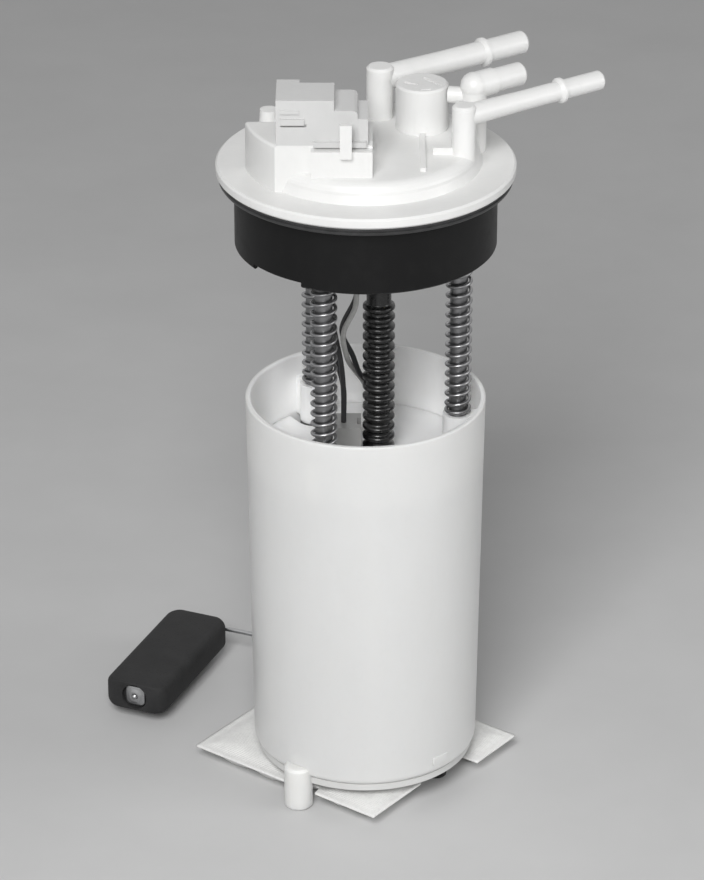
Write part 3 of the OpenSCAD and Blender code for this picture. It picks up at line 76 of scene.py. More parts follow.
# %% Place the camera
VIEW_DOWN = math.radians(26.13)
VIEW_DISTANCE = 1.644
MIDDLE = Vector((0, 0, -0.0963))
AIM = Vector((-0.0055, -0.0083, -0.1132))
LENS = 164.05
SENSOR = 36
back = Vector((0, -math.cos(VIEW_DOWN), math.sin(VIEW_DOWN)))
camera = bpy.data.objects.new("camera", bpy.data.cameras.new("camera"))
camera.data.lens = LENS
camera.data.sensor_width = SENSOR
camera.location = MIDDLE + back * VIEW_DISTANCE
camera.rotation_euler = (AIM - camera.location).to_track_quat("-Z", "Y").to_euler()
bpy.context.scene.collection.objects.link(camera)
bpy.context.scene.camera = camera
print("camera at", [round(x, 3) for x in camera.location])

# %% [markdown]
# Light and floor
#
# The shapes are pale on pale, so they are read from soft shading alone. A single lamp would give
# hard edges, and an even world would give none. A broad lamp above the camera does most of it.
# Weak ones in front, at the right and behind, and a dim pale world, fill what it leaves dark.

# %% Set the studio
scene = bpy.context.scene
scene.view_settings.view_transform = "Standard"
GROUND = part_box("strainer_sock")[0].z
FLOOR_SIZE = 8
LIT_POINT = Vector((0, 0, -0.12))


def lamp(name, place, size, power):
    """A square area lamp of that side in metres and power in watts, turned to the module."""
    light = bpy.data.lights.new(name, "AREA")
    light.size = size
    light.energy = power
    thing = bpy.data.objects.new(name, light)
    thing.location = place
    thing.rotation_euler = (LIT_POINT - thing.location).to_track_quat("-Z", "Y").to_euler()
    scene.collection.objects.link(thing)


lamp("key", (-0.25, -1.43, 1.07), 0.8, 29.5)
lamp("front", (0, -1.75, 0.55), 0.8, 2)
lamp("side_right", (1.5, -0.4, 0.35), 0.7, 5)
lamp("behind", (0.2, 1.4, 1.0), 0.8, 1)

half = FLOOR_SIZE / 2
corners = ((-half, -half), (half, -half), (half, half), (-half, half))
floor = bpy.data.objects.new("floor", bpy.data.meshes.new("floor"))
floor.data.from_pydata([(x, y, GROUND) for x, y in corners], [], [(0, 1, 2, 3)])
scene.collection.objects.link(floor)
print("floor at", round(GROUND, 4), "lamps", len(bpy.data.lights))

# %% [markdown]
# Shader sums in Python
#
# A material here is a few patterns added, multiplied and mixed. Node by node that takes many
# lines, and the sum itself gets lost. So a small class wraps a socket and turns Python's
# operators into Math nodes, and one method makes every other kind of node.


# %% Wrap a socket
class Field:
    """A number that varies over a surface: one output socket, with arithmetic."""

    def __init__(self, finish, socket):
        self.finish = finish
        self.socket = socket

    def sum_of(self, operation, a, b=None):
        """One Math node on values, fields or both."""
        inputs = {0: a} if b is None else {0: a, 1: b}
        return self.finish.node("ShaderNodeMath", {"operation": operation}, inputs)

    def __add__(self, other):
        return self.sum_of("ADD", self, other)

    def __sub__(self, other):
        return self.sum_of("SUBTRACT", self, other)

    def __rsub__(self, other):
        return self.sum_of("SUBTRACT", other, self)

    def __mul__(self, other):
        return self.sum_of("MULTIPLY", self, other)

    def __pow__(self, other):
        return self.sum_of("POWER", self, other)

    __radd__ = __add__
    __rmul__ = __mul__

    def wave(self):
        """The sine of the field."""
        return self.sum_of("SINE", self)

    def size(self):
        """The field without its sign."""
        return self.sum_of("ABSOLUTE", self)

    def over(self, low, high):
        """0 below low, 1 above high, straight between."""
        inputs = {"Value": self, "From Min": low, "From Max": high}
        return self.finish.node("ShaderNodeMapRange", {"clamp": True}, inputs, "Result")


# %% Build a finish
class Finish:
    """One material in the making, with the patterns that finishes are mixed from."""

    def __init__(self, name):
        self.material = bpy.data.materials.new(name)
        self.material.use_nodes = True
        self.tree = self.material.node_tree
        self.tree.nodes.clear()
        self.shader = self.tree.nodes.new("ShaderNodeBsdfPrincipled")
        out = self.tree.nodes.new("ShaderNodeOutputMaterial")
        self.tree.links.new(self.shader.outputs["BSDF"], out.inputs["Surface"])

    def node(self, kind, settings=None, inputs=None, output=0):
        """A node of any kind: its settings first, then its sockets' values or links."""
        made = self.tree.nodes.new(kind)
        for key, value in (settings or {}).items():
            setattr(made, key, value)
        for key, value in (inputs or {}).items():
            self.feed(made.inputs[key], value)
        return Field(self, made.outputs[output])

    def feed(self, socket, value):
        """Links a field to a socket, or sets a plain value on it."""
        if isinstance(value, Field):
            self.tree.links.new(value.socket, socket)
        elif hasattr(value, "__len__") and len(value) == 3 and len(socket.default_value) == 4:
            socket.default_value = (*value, 1)
        else:
            socket.default_value = value

    def mapped(self, source, turn, stretch):
        """One kind of texture coordinate, turned about Z and stretched."""
        spot = self.node("ShaderNodeTexCoord", output=source)
        inputs = {"Vector": spot, "Rotation": (0, 0, turn), "Scale": stretch}
        return self.node("ShaderNodeMapping", {}, inputs)

    def place(self, turn=0.0, stretch=(1, 1, 1)):
        """Object coordinates: metres from the frame's origin."""
        return self.mapped("Object", turn, stretch)

    def along(self, turn=0.0, stretch=(1, 1, 1)):
        """The piece's own UV map: shares of its length and of its girth."""
        return self.mapped("UV", turn, stretch)

    def axis(self, vector, letter):
        """One of a vector's three numbers."""
        return self.node("ShaderNodeSeparateXYZ", {}, {0: vector}, letter)

    def noise(self, pitch, vector=None, detail=3.0, rough=0.55):
        """Soft noise from 0 to 1, whose blobs are about pitch metres across."""
        inputs = {"Scale": 1 / pitch, "Detail": detail, "Roughness": rough}
        inputs["Vector"] = self.place() if vector is None else vector
        return self.node("ShaderNodeTexNoise", {}, inputs, "Fac")

    def cells(self, pitch):
        """Distance to the nearest of scattered points, about pitch metres apart."""
        inputs = {"Scale": 1 / pitch, "Vector": self.place()}
        return self.node("ShaderNodeTexVoronoi", {}, inputs, "Distance")

    def blend(self, share, a, b):
        """Colour a where share is 0, and b where it is 1."""
        return self.node("ShaderNodeMix", {"data_type": "RGBA"}, {0: share, 6: a, 7: b}, 2)

    def relief(self, height, depth):
        """A bump whose full height is depth metres."""
        inputs = {"Height": height, "Distance": depth, "Strength": 1.0}
        self.feed(self.shader.inputs["Normal"], self.node("ShaderNodeBump", {}, inputs, "Normal"))

    def lay(self, **values):
        """Sets the shader's own sockets: base_color sets Base Color, and so on."""
        for key, value in values.items():
            socket = key.replace("_", " ").title().replace("Ior", "IOR")
            self.feed(self.shader.inputs[socket], value)
        return self.material


# %% [markdown]
# Floor and world
#
# Behind the module is a plain pale ground with a soft shadow. A pure white floor would lose the
# shadow that sets the module down, so this is matt card, hardly uneven. The world could light the
# module evenly, but then its pale shapes would flatten. It stays dim as a light, and is paler only
# where the camera, gloss or glass looks at it.


# %% Floor and world
def floor_finish():
    """Pale matt card: two near greys mixed by soft noise."""
    f = Finish("floor_card")
    drift = f.noise(60 * MM, detail=4.0)
    tint = f.blend(drift.over(0.3, 0.7), (0.60, 0.60, 0.60), (0.63, 0.63, 0.63))
    return f.lay(base_color=tint, roughness=0.75)


def pale_world(light=0.15, seen=0.75):
    """An even world: dim as a light, paler where the camera, gloss or glass looks at it."""
    world = bpy.data.worlds.new("tent")
    world.use_nodes = True
    tree = world.node_tree
    ray = tree.nodes.new("ShaderNodeLightPath")
    ground = tree.nodes["Background"]
    ground.inputs["Color"].default_value = (1, 1, 1, 1)
    share = tree.nodes.new("ShaderNodeMapRange")
    seen_by = ray.outputs["Is Camera Ray"]
    for kind in ("Is Glossy Ray", "Is Transmission Ray"):
        either = tree.nodes.new("ShaderNodeMath")
        either.operation = "MAXIMUM"
        tree.links.new(seen_by, either.inputs[0])
        tree.links.new(ray.outputs[kind], either.inputs[1])
        seen_by = either.outputs[0]
    tree.links.new(seen_by, share.inputs["Value"])
    share.inputs["To Min"].default_value = light
    share.inputs["To Max"].default_value = seen
    tree.links.new(share.outputs["Result"], ground.inputs["Strength"])
    bpy.context.scene.world = world


floor.data.materials.append(floor_finish())
pale_world()
print("floor finish", floor.data.materials[0].name, "world", bpy.context.scene.world.name)

# %% [markdown]
# Moulded plastics
#
# The cover, reservoir, connector and skirt are injection mouldings. A flat colour looks like a
# drawing, and heavy noise looks like stone. Real mouldings show three faint things: cloudy flow
# marks some centimetres long, a fine orange-peel grain, and small rubs that change the gloss but
# hardly the colour. The milky ones also let a little light in, so they get some scattering.


# %% Pale plastics
PEEL_DEEP = 0.006 * MM
MILK_TINT = (1.0, 0.98, 0.94)


def shade_of(colour, factor):
    """A colour made lighter or darker: each number times the factor, kept from 0 to 1."""
    return tuple(min(1.0, max(0.0, c * factor)) for c in colour)


def moulding(name, rough):
    """A finish with a moulding's relief and gloss, and its flow clouds and rubs for the colour.

    Roughness is the plain one, plus 0.12 where it is rubbed, plus a little of the grain."""
    f = Finish(name)
    flow = f.noise(28 * MM, f.place(stretch=(1, 1, 0.45)), 4.0)
    fine = f.noise(0.55 * MM, detail=2.0)
    scuff = f.noise(3.2 * MM, f.place(turn=0.4, stretch=(1, 3.2, 0.7)), 5.0, 0.7).over(0.52, 0.74)
    f.relief(fine * 0.8 + flow * 0.6, PEEL_DEEP)
    f.lay(roughness=rough + scuff * 0.12 + fine * 0.05)
    return f, flow.over(0.32, 0.68), scuff


def moulded(name, colour, rough, milk=0.0, coat=0.0):
    """Plain moulded plastic: 5 % darker to 3 % paler with the flow, and darker where rubbed."""
    f, cloud, scuff = moulding(name, rough)
    tint = f.blend(cloud, shade_of(colour, 0.95), shade_of(colour, 1.03))
    f.lay(base_color=f.blend(scuff * 0.25, tint, shade_of(colour, 0.9)))
    if milk:
        f.lay(subsurface_weight=milk, subsurface_radius=MILK_TINT, subsurface_scale=3.5 * MM)
    if coat:
        f.lay(coat_weight=coat, coat_roughness=0.2)
    return f.material


# %% [markdown]
# The reservoir is thin and milky. Light comes through its wall and makes the inside paler than the
# outside. Scattering alone shows hardly any of that, so the inside's colour is painted paler: painted
# light. The wall's outside is a cone of known size, and what lies well inside it is the inside.

# %% Milky plastic
# The outside's radius at the rim, and how far it draws in from there to the foot.
CUP_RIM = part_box("reservoir_cup")[1].z
CUP_RIM_R = 49.25 * MM
CUP_HEIGHT = 159.3 * MM
CUP_DRAW = 2.15 * MM


def milky(name, colour, painted_light_inside, rough=0.36):
    """The outside's radius is R + taper * (z - rim). From 0.8 to 1.6 mm inside it the colour
    turns from the outer one to the paler inner one, which is painted light."""
    f, cloud, scuff = moulding(name, rough)
    spot = f.place()
    x, y, z = (f.axis(spot, letter) for letter in "XYZ")
    depth = (x * x + y * y) ** 0.5 - (z - CUP_RIM) * (CUP_DRAW / CUP_HEIGHT) - CUP_RIM_R
    # Painted light: the inside is paler, standing for light that comes through the wall.
    tint = f.blend(1 - depth.over(-1.6 * MM, -0.8 * MM), colour, painted_light_inside)
    tint = f.blend(cloud * 0.08, tint, shade_of(colour, 0.6))
    tint = f.blend(scuff * 0.03, tint, shade_of(colour, 0.5))
    return f.lay(base_color=tint, subsurface_weight=0.8, subsurface_radius=MILK_TINT,
                 subsurface_scale=6 * MM)


# %% [markdown]
# The skirt and hose are black, the seal is rubber and the float is foam. Pure black would show
# only its highlights, so dust, bloom and cut cells break up the gloss. Dust and bloom lift it a
# little, and the foam's larger cells are painted darker to their middle: painted shade in the pits.


# %% Black plastic, rubber and foam
def black_moulding(name, rough=0.42, gloss=0.22):
    """Black glass-filled plastic: grey dust in the grain, and fine scratches. Both are noise,
    the scratches drawn out along one way, and both lift the colour and the roughness."""
    f = Finish(name)
    dust = f.noise(7 * MM, detail=6.0, rough=0.6).over(0.5, 0.85)
    fine = f.noise(0.4 * MM, detail=2.0)
    scratch = f.noise(1.1 * MM, f.place(turn=0.5, stretch=(1, 14, 1)), 3.0).over(0.62, 0.68)
    tint = f.blend(dust * 0.4 + scratch * 0.3, (0.004, 0.004, 0.0042), (0.012, 0.012, 0.0118))
    f.relief(fine - scratch * 0.4, 0.012 * MM)
    dull = rough + dust * 0.12 + scratch * 0.12
    return f.lay(base_color=tint, roughness=dull, specular_ior_level=gloss)


def rubber(name, colour, rough):
    """Moulded rubber: a dull bloom in patches, up to 2.4 times paler, over a dark body."""
    f = Finish(name)
    bloom = f.noise(6 * MM, detail=5.0, rough=0.7).over(0.42, 0.78)
    fine = f.noise(0.3 * MM, detail=2.0)
    f.relief(fine, 0.008 * MM)
    tint = f.blend(bloom * 0.7, colour, shade_of(colour, 2.4))
    return f.lay(base_color=tint, roughness=rough + bloom * 0.22)


def foam(name):
    """Closed-cell foam: cut cells of two sizes, each a shallow pit that deepens to its middle.
    The larger pits are painted darker towards their middle: painted shade.
    """
    f = Finish(name)
    pits = f.cells(0.55 * MM).over(0.1, 0.5)
    large = f.cells(1.7 * MM).over(0.05, 0.28)
    drift = f.noise(11 * MM, detail=4.0)
    tint = f.blend(drift.over(0.3, 0.7), (0.02, 0.02, 0.0205), (0.034, 0.034, 0.0345))
    # Painted shade: each larger pit is darker towards its middle.
    tint = f.blend((1 - large) * 0.5, tint, (0.01, 0.01, 0.01))
    f.relief(pits * 0.5 + large, 0.05 * MM)
    return f.lay(base_color=tint, roughness=0.62 + drift * 0.22, specular_ior_level=0.25)


# %% [markdown]
# Metals
#
# Rods and springs are drawn wire, the pump's can is plated sheet, and the contacts are tinned.
# Each could share one shiny grey, but drawing leaves long fine lines, plating leaves cloudy spots,
# and fuel leaves dull films. The lines run along the piece, so wires read their own UV map.


# %% Metals
def drawn_wire(name, colour, rough=0.3, film=0.35):
    """Steel wire: noise drawn out along it for the lines, and dull film in patches."""
    f = Finish(name)
    lines = f.noise(1.0, f.along(stretch=(3, 60, 1)), 3.0)
    patch = f.noise(7 * MM, detail=5.0, rough=0.65).over(0.42, 0.72)
    tint = f.blend(patch * film, colour, shade_of(colour, 0.55))
    tint = f.blend(lines.over(0.35, 0.65) * 0.3, tint, shade_of(colour, 1.12))
    f.relief(lines, 0.006 * MM)
    return f.lay(base_color=tint, metallic=1.0, roughness=rough + patch * 0.2 + lines * 0.06)


def turned_metal(name, colour, rough=0.28):
    """Plated or turned metal: noise squashed 26 times in height for rings, and cloudy spots."""
    f = Finish(name)
    rings = f.noise(4 * MM, f.place(stretch=(1, 1, 26)), 4.0)
    spot = f.noise(5 * MM, detail=6.0, rough=0.7).over(0.5, 0.75)
    tint = f.blend(rings.over(0.3, 0.7) * 0.5, shade_of(colour, 0.88), colour)
    tint = f.blend(spot * 0.3, tint, shade_of(colour, 0.6))
    f.relief(rings, 0.01 * MM)
    return f.lay(base_color=tint, metallic=1.0, roughness=rough + spot * 0.22 + rings * 0.08)


def sintered(name, colour):
    """Pressed and fired powder: each grain is paler away from its middle, and stands up there."""
    f = Finish(name)
    grains = f.cells(0.35 * MM).over(0.1, 0.55)
    drift = f.noise(8 * MM, detail=4.0)
    tint = f.blend(grains * 0.5 + drift * 0.3, shade_of(colour, 0.7), shade_of(colour, 1.3))
    f.relief(grains, 0.02 * MM)
    return f.lay(base_color=tint, metallic=0.35, roughness=0.55 + drift * 0.2)


def winding(name, colour):
    """Lacquered copper wire laid side by side: one sine of the height for each 0.6 mm. The
    grooves between the turns are painted darker: painted shade.
    """
    f = Finish(name)
    up = f.axis(f.place(), "Z")
    turns = (up * (2 * math.pi / (0.6 * MM))).wave() * 0.5 + 0.5
    drift = f.noise(6 * MM, detail=4.0)
    # Painted shade: darker where the sine is low, in the grooves between the turns; the drift adds uneven tone.
    tint = f.blend(turns * 0.6 + drift * 0.3, shade_of(colour, 0.45), colour)
    f.relief(turns, 0.12 * MM)
    return f.lay(base_color=tint, metallic=0.85, roughness=0.3 + drift * 0.15, coat_weight=0.4)


# %% [markdown]
# Cloth and leads
#
# The strainer is woven from plastic thread. Its weave could be modelled thread by thread, with
# far too many faces, so two crossed waves make the threads in a bump: where one family passes
# over, the other dips under. It reads object coordinates turned to the sock's own direction.
# The leads' insulation has a faint lay from the twisted strands under it.


# %% Woven cloth and insulation
SOCK_TURN = math.radians(-37)
THREAD = 0.85 * MM


def woven(name, colour):
    """Plain weave: each thread is |sine| to the power 0.6 across it, and the sign of the two
    sines' product says which family lies on top. Where neither is high there is a hole, painted
    darker as painted shade between the threads."""
    f = Finish(name)
    spot = f.place(turn=-SOCK_TURN)
    wobble = f.noise(4 * MM, detail=2.0) * 0.5
    warp, weft = ((f.axis(spot, letter) * (math.pi / THREAD) + wobble).wave() for letter in "XY")
    on_top = (warp * weft).over(-0.6, 0.6)
    ridge = (warp.size() ** 0.6) * on_top + (weft.size() ** 0.6) * (1 - on_top)
    hole = 1 - ridge.over(0.12, 0.5)
    soil = f.noise(7 * MM, detail=6.0, rough=0.7).over(0.42, 0.62)
    speck = f.noise(2.2 * MM, detail=4.0, rough=0.7).over(0.48, 0.66)
    # Painted shade: the holes between the threads are darker.
    tint = f.blend(hole * 0.3, colour, shade_of(colour, 0.5))
    tint = f.blend(soil * 0.2 + speck * 0.3, tint, shade_of(colour, 0.76))
    f.relief(ridge, 0.2 * MM)
    return f.lay(base_color=tint, roughness=0.5 + hole * 0.2, sheen_weight=0.15)


def insulation(name, colour):
    """Soft plastic over twisted strands: a sine of the slanted UV map, and grime in patches."""
    f = Finish(name)
    slanted = f.along(turn=0.6, stretch=(40, 6, 1))
    strands = (f.axis(slanted, "X") * 2.0).wave() * 0.5 + 0.5
    grime = f.noise(4 * MM, detail=5.0, rough=0.65).over(0.4, 0.75)
    tint = f.blend(grime * 0.5, colour, shade_of(colour, 0.6))
    f.relief(strands, 0.03 * MM)
    return f.lay(base_color=tint, roughness=0.38 + grime * 0.2)


# %% [markdown]
# One finish for each slot
#
# The photograph is grey, so each colour is a guess at a usual one whose grey fits. Each slot of
# the record gets one finish, and pieces of one slot could all share it. Two are let off: the small
# lead connector is darker than its slot, and the three rods are painted darker, as painted shade
# from the springs' coils round them.

# %% Lay the finishes
RODS = ("right", "rear", "front")
finishes = {
    "white_acetal": moulded("white_acetal", (0.80, 0.80, 0.79), 0.33, milk=0.18),
    # The second colour is the reservoir's inside, painted paler: painted light.
    "milky_acetal": milky("milky_acetal", (0.80, 0.80, 0.785), (0.96, 0.96, 0.95)),
    "grey_plastic": moulded("grey_plastic", (0.66, 0.66, 0.65), 0.4),
    "connector_grey": moulded("connector_grey", (0.60, 0.60, 0.595), 0.3, coat=0.15),
    "black_plastic": black_moulding("black_plastic"),
    "seal_rubber": rubber("seal_rubber", (0.024, 0.024, 0.0245), 0.32),
    "black_hose": black_moulding("black_hose", 0.27, 0.6),
    "rod_steel": drawn_wire("rod_steel", (0.40, 0.405, 0.41), 0.25),
    "spring_steel": drawn_wire("spring_steel", (0.30, 0.30, 0.305), 0.27, 0.5),
    "can_steel": turned_metal("can_steel", (0.62, 0.63, 0.64)),
    "tinned_brass": turned_metal("tinned_brass", (0.72, 0.66, 0.52), 0.3),
    "blue_plastic": moulded("blue_plastic", (0.22, 0.30, 0.38), 0.4),
    "brown_plastic": moulded("brown_plastic", (0.16, 0.13, 0.10), 0.45),
    "ferrite": sintered("ferrite", (0.05, 0.05, 0.055)),
    "carbon": sintered("carbon", (0.03, 0.03, 0.03)),
    "copper_winding": winding("copper_winding", (0.61, 0.30, 0.14)),
    "ceramic": moulded("ceramic", (0.75, 0.73, 0.68), 0.5),
    "woven_mesh": woven("woven_mesh", (0.93, 0.93, 0.915)),
    "float_foam": foam("float_foam"),
    "dark_lead": insulation("dark_lead", (0.03, 0.03, 0.032)),
    "light_lead": insulation("light_lead", (0.42, 0.42, 0.41)),
}
smoky_grey = moulded("smoky_grey", (0.34, 0.34, 0.335), 0.34)
# Painted shade: the guide rods are darker, standing for the shade of the springs' coils round them.
painted_shade_rod = drawn_wire("painted_shade_rod", (0.24, 0.24, 0.245), 0.3)
own_finish = {"lead_connector": smoky_grey} | {f"guide_rod_{place}": painted_shade_rod for place in RODS}
for name, slot in slots.items():
    node = frame["nodes"][name]
    node.data.materials.clear()
    node.data.materials.append(own_finish.get(name, finishes[slot]))
print("finishes", len(finishes), "on", len(slots), "nodes")

# %% [markdown]
# From a grid of points to a mesh
#
# Most new pieces here are a surface over two parameters, or a profile carried along a path. Both
# give rows of points. One helper turns such a grid into a mesh, closed round either way, with
# end caps where the rows are rings, and gives it a UV map: how far along it is, and how far round.


# %% Grid helpers
def mesh_of(name, points, faces, uv=None):
    """An object at the origin from an array of points and a list of faces."""
    data = bpy.data.meshes.new(name)
    data.from_pydata(np.asarray(points).reshape(-1, 3).tolist(), [], faces)
    if uv is not None:
        corner = np.zeros(len(data.loops), dtype=np.int32)
        data.loops.foreach_get("vertex_index", corner)
        data.uv_layers.new(name="along").data.foreach_set("uv", np.asarray(uv)[corner].ravel())
    data.polygons.foreach_set("use_smooth", [True] * len(data.polygons))
    data.update()
    thing = bpy.data.objects.new(name, data)
    bpy.context.scene.collection.objects.link(thing)
    return thing


def ring_surface(name, rings, closed=False):
    """Skins rows of points: each row is a closed ring, and the next row follows it. The last row
    joins the first where closed is set, and otherwise both ends get a cap.

    Corner (i, j) joins (i, j+1), (i+1, j+1) and (i+1, j), with j taken round the ring."""
    rows, around = rings.shape[:2]
    last = rows if closed else rows - 1
    i, j = np.meshgrid(np.arange(last), np.arange(around), indexing="ij")
    here, up = i * around, ((i + 1) % rows) * around
    right = (j + 1) % around
    faces = np.stack([here + j, here + right, up + right, up + j], axis=-1).reshape(-1, 4).tolist()
    if not closed:
        faces.append(list(range(around))[::-1])
        faces.append(list(range((rows - 1) * around, rows * around)))
    u, v = np.meshgrid(np.arange(rows) / rows, np.arange(around) / around, indexing="ij")
    return mesh_of(name, rings, faces, np.stack([u, v], axis=-1).reshape(-1, 2))


def unit(vectors):
    """Each vector over its own length."""
    return vectors / np.linalg.norm(vectors, axis=-1, keepdims=True)


def tube(name, path, radius, sides=16, level=(1.0, 0.0, 0.0)):
    """A round tube along a path: centre + r (cos a * n + sin a * b), with n across the path and
    the level vector, and b across the path and n."""
    path = np.asarray(path, float)
    forward = unit(np.gradient(path, axis=0))
    n = unit(np.cross(forward, np.asarray(level)))
    b = np.cross(forward, n)
    angle = np.linspace(0, 2 * math.pi, sides, endpoint=False)[None, :, None]
    section = np.cos(angle) * n[:, None] + np.sin(angle) * b[:, None]
    return ring_surface(name, path[:, None] + radius * section)


def lathe(name, profile, centre, sides=48):
    """Turns a closed outline of (radius, height) round the upright line through centre."""
    profile = np.asarray(profile, float)
    angle = np.linspace(0, 2 * math.pi, sides, endpoint=False)
    x = centre[0] + profile[:, 0][:, None] * np.cos(angle)
    y = centre[1] + profile[:, 0][:, None] * np.sin(angle)
    z = np.broadcast_to(profile[:, 1][:, None], x.shape)
    return ring_surface(name, np.stack([x, y, z], axis=-1), closed=True)


def finish_piece(piece, body, node):
    """The piece rides on its body, stands for its node and takes its slot."""
    slot = slots[node]
    piece.data.materials.append(finishes[slot])
    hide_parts(node)
    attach(piece, body)
    print(piece.name, len(piece.data.polygons), "faces on", body)


def shorten(piece, joint, low, high):
    """Works out what would be kept of the piece's length between heights low and high for the
    joint's whole travel, (length - travel) / length, and gives the piece its own mesh. It doesn't
    squash the piece."""
    keep = (high - low - travel[joint]) / (high - low)
    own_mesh(piece)


print("helpers ready; the longest slide is", max(travel.values()))


# %% [markdown]
# Springs
#
# A compression spring with closed ends starts and finishes with a turn that lies flat on the
# turn before. A constant helix would leave its ends cut off in mid-air. So the height is a
# function of the turn in three stretches, and the wire's round section is swept round it.


# %% Coil surfaces
SPRING_WIRE, SPRING_PITCH = 1.5 * MM, 4.5 * MM
CHECK_WIRE, CHECK_PITCH = 0.4 * MM, 1.2 * MM
CLOSED_RISE = 1.03


def coil_height(turn, length, wire, active):
    """Height of the wire's middle: one closed turn, then active turns, then one closed turn. A
    closed turn rises by little more than the wire's own thickness."""
    closed = wire * CLOSED_RISE
    rise = (length - wire - 2 * closed) / active
    climb = np.interp(turn, [0, 1, active + 1, active + 2],
                      [0, closed, closed + active * rise, 2 * closed + active * rise])
    return wire / 2 + climb


def coil(name, node, wire, pitch, steps=30, sides=10):
    """A spring in the space of its solid: middle radius R from the box, turn t at angle 2 pi t."""
    low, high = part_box(node)
    length = high.z - low.z
    radius = (high.x - low.x) / 2 - wire / 2
    centre = np.array([(low.x + high.x) / 2, (low.y + high.y) / 2, low.z])
    active = max(2, round((length - 3 * wire) / pitch))
    turn = np.linspace(0, active + 2, (active + 2) * steps + 1)
    radial = np.stack([np.cos(2 * math.pi * turn), np.sin(2 * math.pi * turn), 0 * turn], axis=-1)
    middle = centre + radius * radial
    middle[:, 2] += coil_height(turn, length, wire, active)
    angle = np.linspace(0, 2 * math.pi, sides, endpoint=False)[None, :, None]
    section = np.cos(angle) * np.array([0, 0, 1.0]) + np.sin(angle) * radial[:, None]
    return ring_surface(name, middle[:, None] + wire / 2 * section)


for place in RODS:
    node = f"cover_spring_{place}"
    low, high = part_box(node)
    piece = coil(f"spring_{place}", node, SPRING_WIRE, SPRING_PITCH)
    finish_piece(piece, "reservoir", node)
    shorten(piece, "cover_slide", low.z, high.z)

low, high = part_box("check_spring")
piece = coil("outlet_ball_spring", "check_spring", CHECK_WIRE, CHECK_PITCH, 16, 8)
finish_piece(piece, "reservoir", "check_spring")
shorten(piece, "outlet_ball_lift", low.z, high.z)

# %% [markdown]
# Supply hose
#
# The hose is blown with round ridges so that it can bend and shorten, and its plain ends are
# pressed over barbs. It could be a stack of rings, but a turned profile keeps one even wall:
# the outline runs up the outside, rounded by a flattened wave, and back down the bore.


# %% Hose
HOSE_RIDGES = 17
HOSE_PITCH = 4.5 * MM
HOSE_PLAIN_LOW = 12 * MM
HOSE_WALL = 0.9 * MM
HOSE_ROWS = 330
ROOT_R = 5.05 * MM
RIDGE_SWING = 0.72


def hose_radius(z, low, ridge_r):
    """Root radius plus a ridge for each pitch: half less swing * cosine, cut flat at 0 and 1."""
    phase = (z - low - HOSE_PLAIN_LOW) / HOSE_PITCH
    inside = (phase > 0) & (phase < HOSE_RIDGES)
    bump = np.clip(0.5 - RIDGE_SWING * np.cos(2 * math.pi * phase), 0, 1)
    return ROOT_R + np.where(inside, bump, 0) * (ridge_r - ROOT_R)


low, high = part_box("supply_hose")
hose_centre = ((low.x + high.x) / 2, (low.y + high.y) / 2)
z = np.linspace(low.z, high.z, HOSE_ROWS)
outer = hose_radius(z, low.z, (high.x - low.x) / 2)
outside = np.stack([outer, z], axis=-1)
inside = np.stack([outer - HOSE_WALL, z], axis=-1)
hose = lathe("hose", np.concatenate([outside, inside[::-1]]), hose_centre)
finish_piece(hose, "reservoir", "supply_hose")
shorten(hose, "cover_slide", low.z, high.z)

# %% [markdown]
# Leads
#
# Two leads feed the pump and a loosely twisted pair serves the sender. Each is a round tube on
# a smooth curve through a few chosen points. A polyline would show its corners, so the curve is
# a spline through the points, in millimetres, as the solids have it.

# %% Lead routes
ROUTES = {
    "pump_lead_live": [(-10.5, -21.5, -0.3), (-11.5, -20, -8), (-16, -10, -30), (-15, -3, -52),
                       (-12.5, -2, -68), (-10, -1, -82), (-9, 0, -96), (-9, 0, -109)],
    "pump_lead_earth": [(-10.5, -17.5, -0.3), (-12, -16, -8), (-18, -5, -30), (-17.5, 2, -52),
                        (-15, 3, -68), (-11.5, 4, -84), (-9, 4, -96), (-9, 4, -109)],
    "sender_lead_signal": [(-10.5, -29.5, -0.3), (-10.5, -27, -10), (-5, -13, -38), (-4, -9, -52),
                           (-9, -6, -66), (-7.4, -0.2, -80), (-4.4, 9.4, -90), (-0.5, 14, -98),
                           (4.7, 39.1, -122.2)],
    "sender_lead_earth": [(-10.5, -25.5, -0.3), (-9.5, -22.5, -10), (-3.2, -11, -35), (-4, -6, -50),
                          (-9.6, -3, -65.5), (-5.2, 2.4, -80), (-2.4, 6.6, -90), (2.2, 12, -98),
                          (7.6, 38.7, -122.2)],
}
LEAD_R = 1.1 * MM


def spline(points, steps=10):
    """A smooth curve through the points: each stretch is the cubic whose end slopes are half the
    way from the point before to the point after."""
    p = np.asarray(points, float)
    p = np.concatenate([p[:1], p, p[-1:]])
    a, b, c, d = (p[k:len(p) - 3 + k, None] for k in range(4))
    s = (np.arange(steps) / steps)[None, :, None]
    body = 0.5 * (2 * b + (c - a) * s + (2 * a - 5 * b + 4 * c - d) * s ** 2
                  + (3 * b - a - 3 * c + d) * s ** 3)
    return np.concatenate([body.reshape(-1, 3), p[-1:]])


for name, route in ROUTES.items():
    lead = tube(f"{name}_wire", spline(route) * MM, LEAD_R)
    finish_piece(lead, "reservoir", name)
    shorten(lead, "cover_slide", route[-1][2] * MM, route[0][2] * MM)

# %% [markdown]
# Float, arm and push nut
#
# The float is a block of black foam, bored along its length for the arm's wire, with a round
# pocket at one end for the push nut. A boolean could cut the bore and the pocket, but rings along
# the bore give both for nothing: they draw in at the ends, come back through the bore and widen
# into the pocket. The wire is one rod bent twice: a cylinder for each leg would leave sharp
# joints, so one tube follows the legs with a curve at each bend.

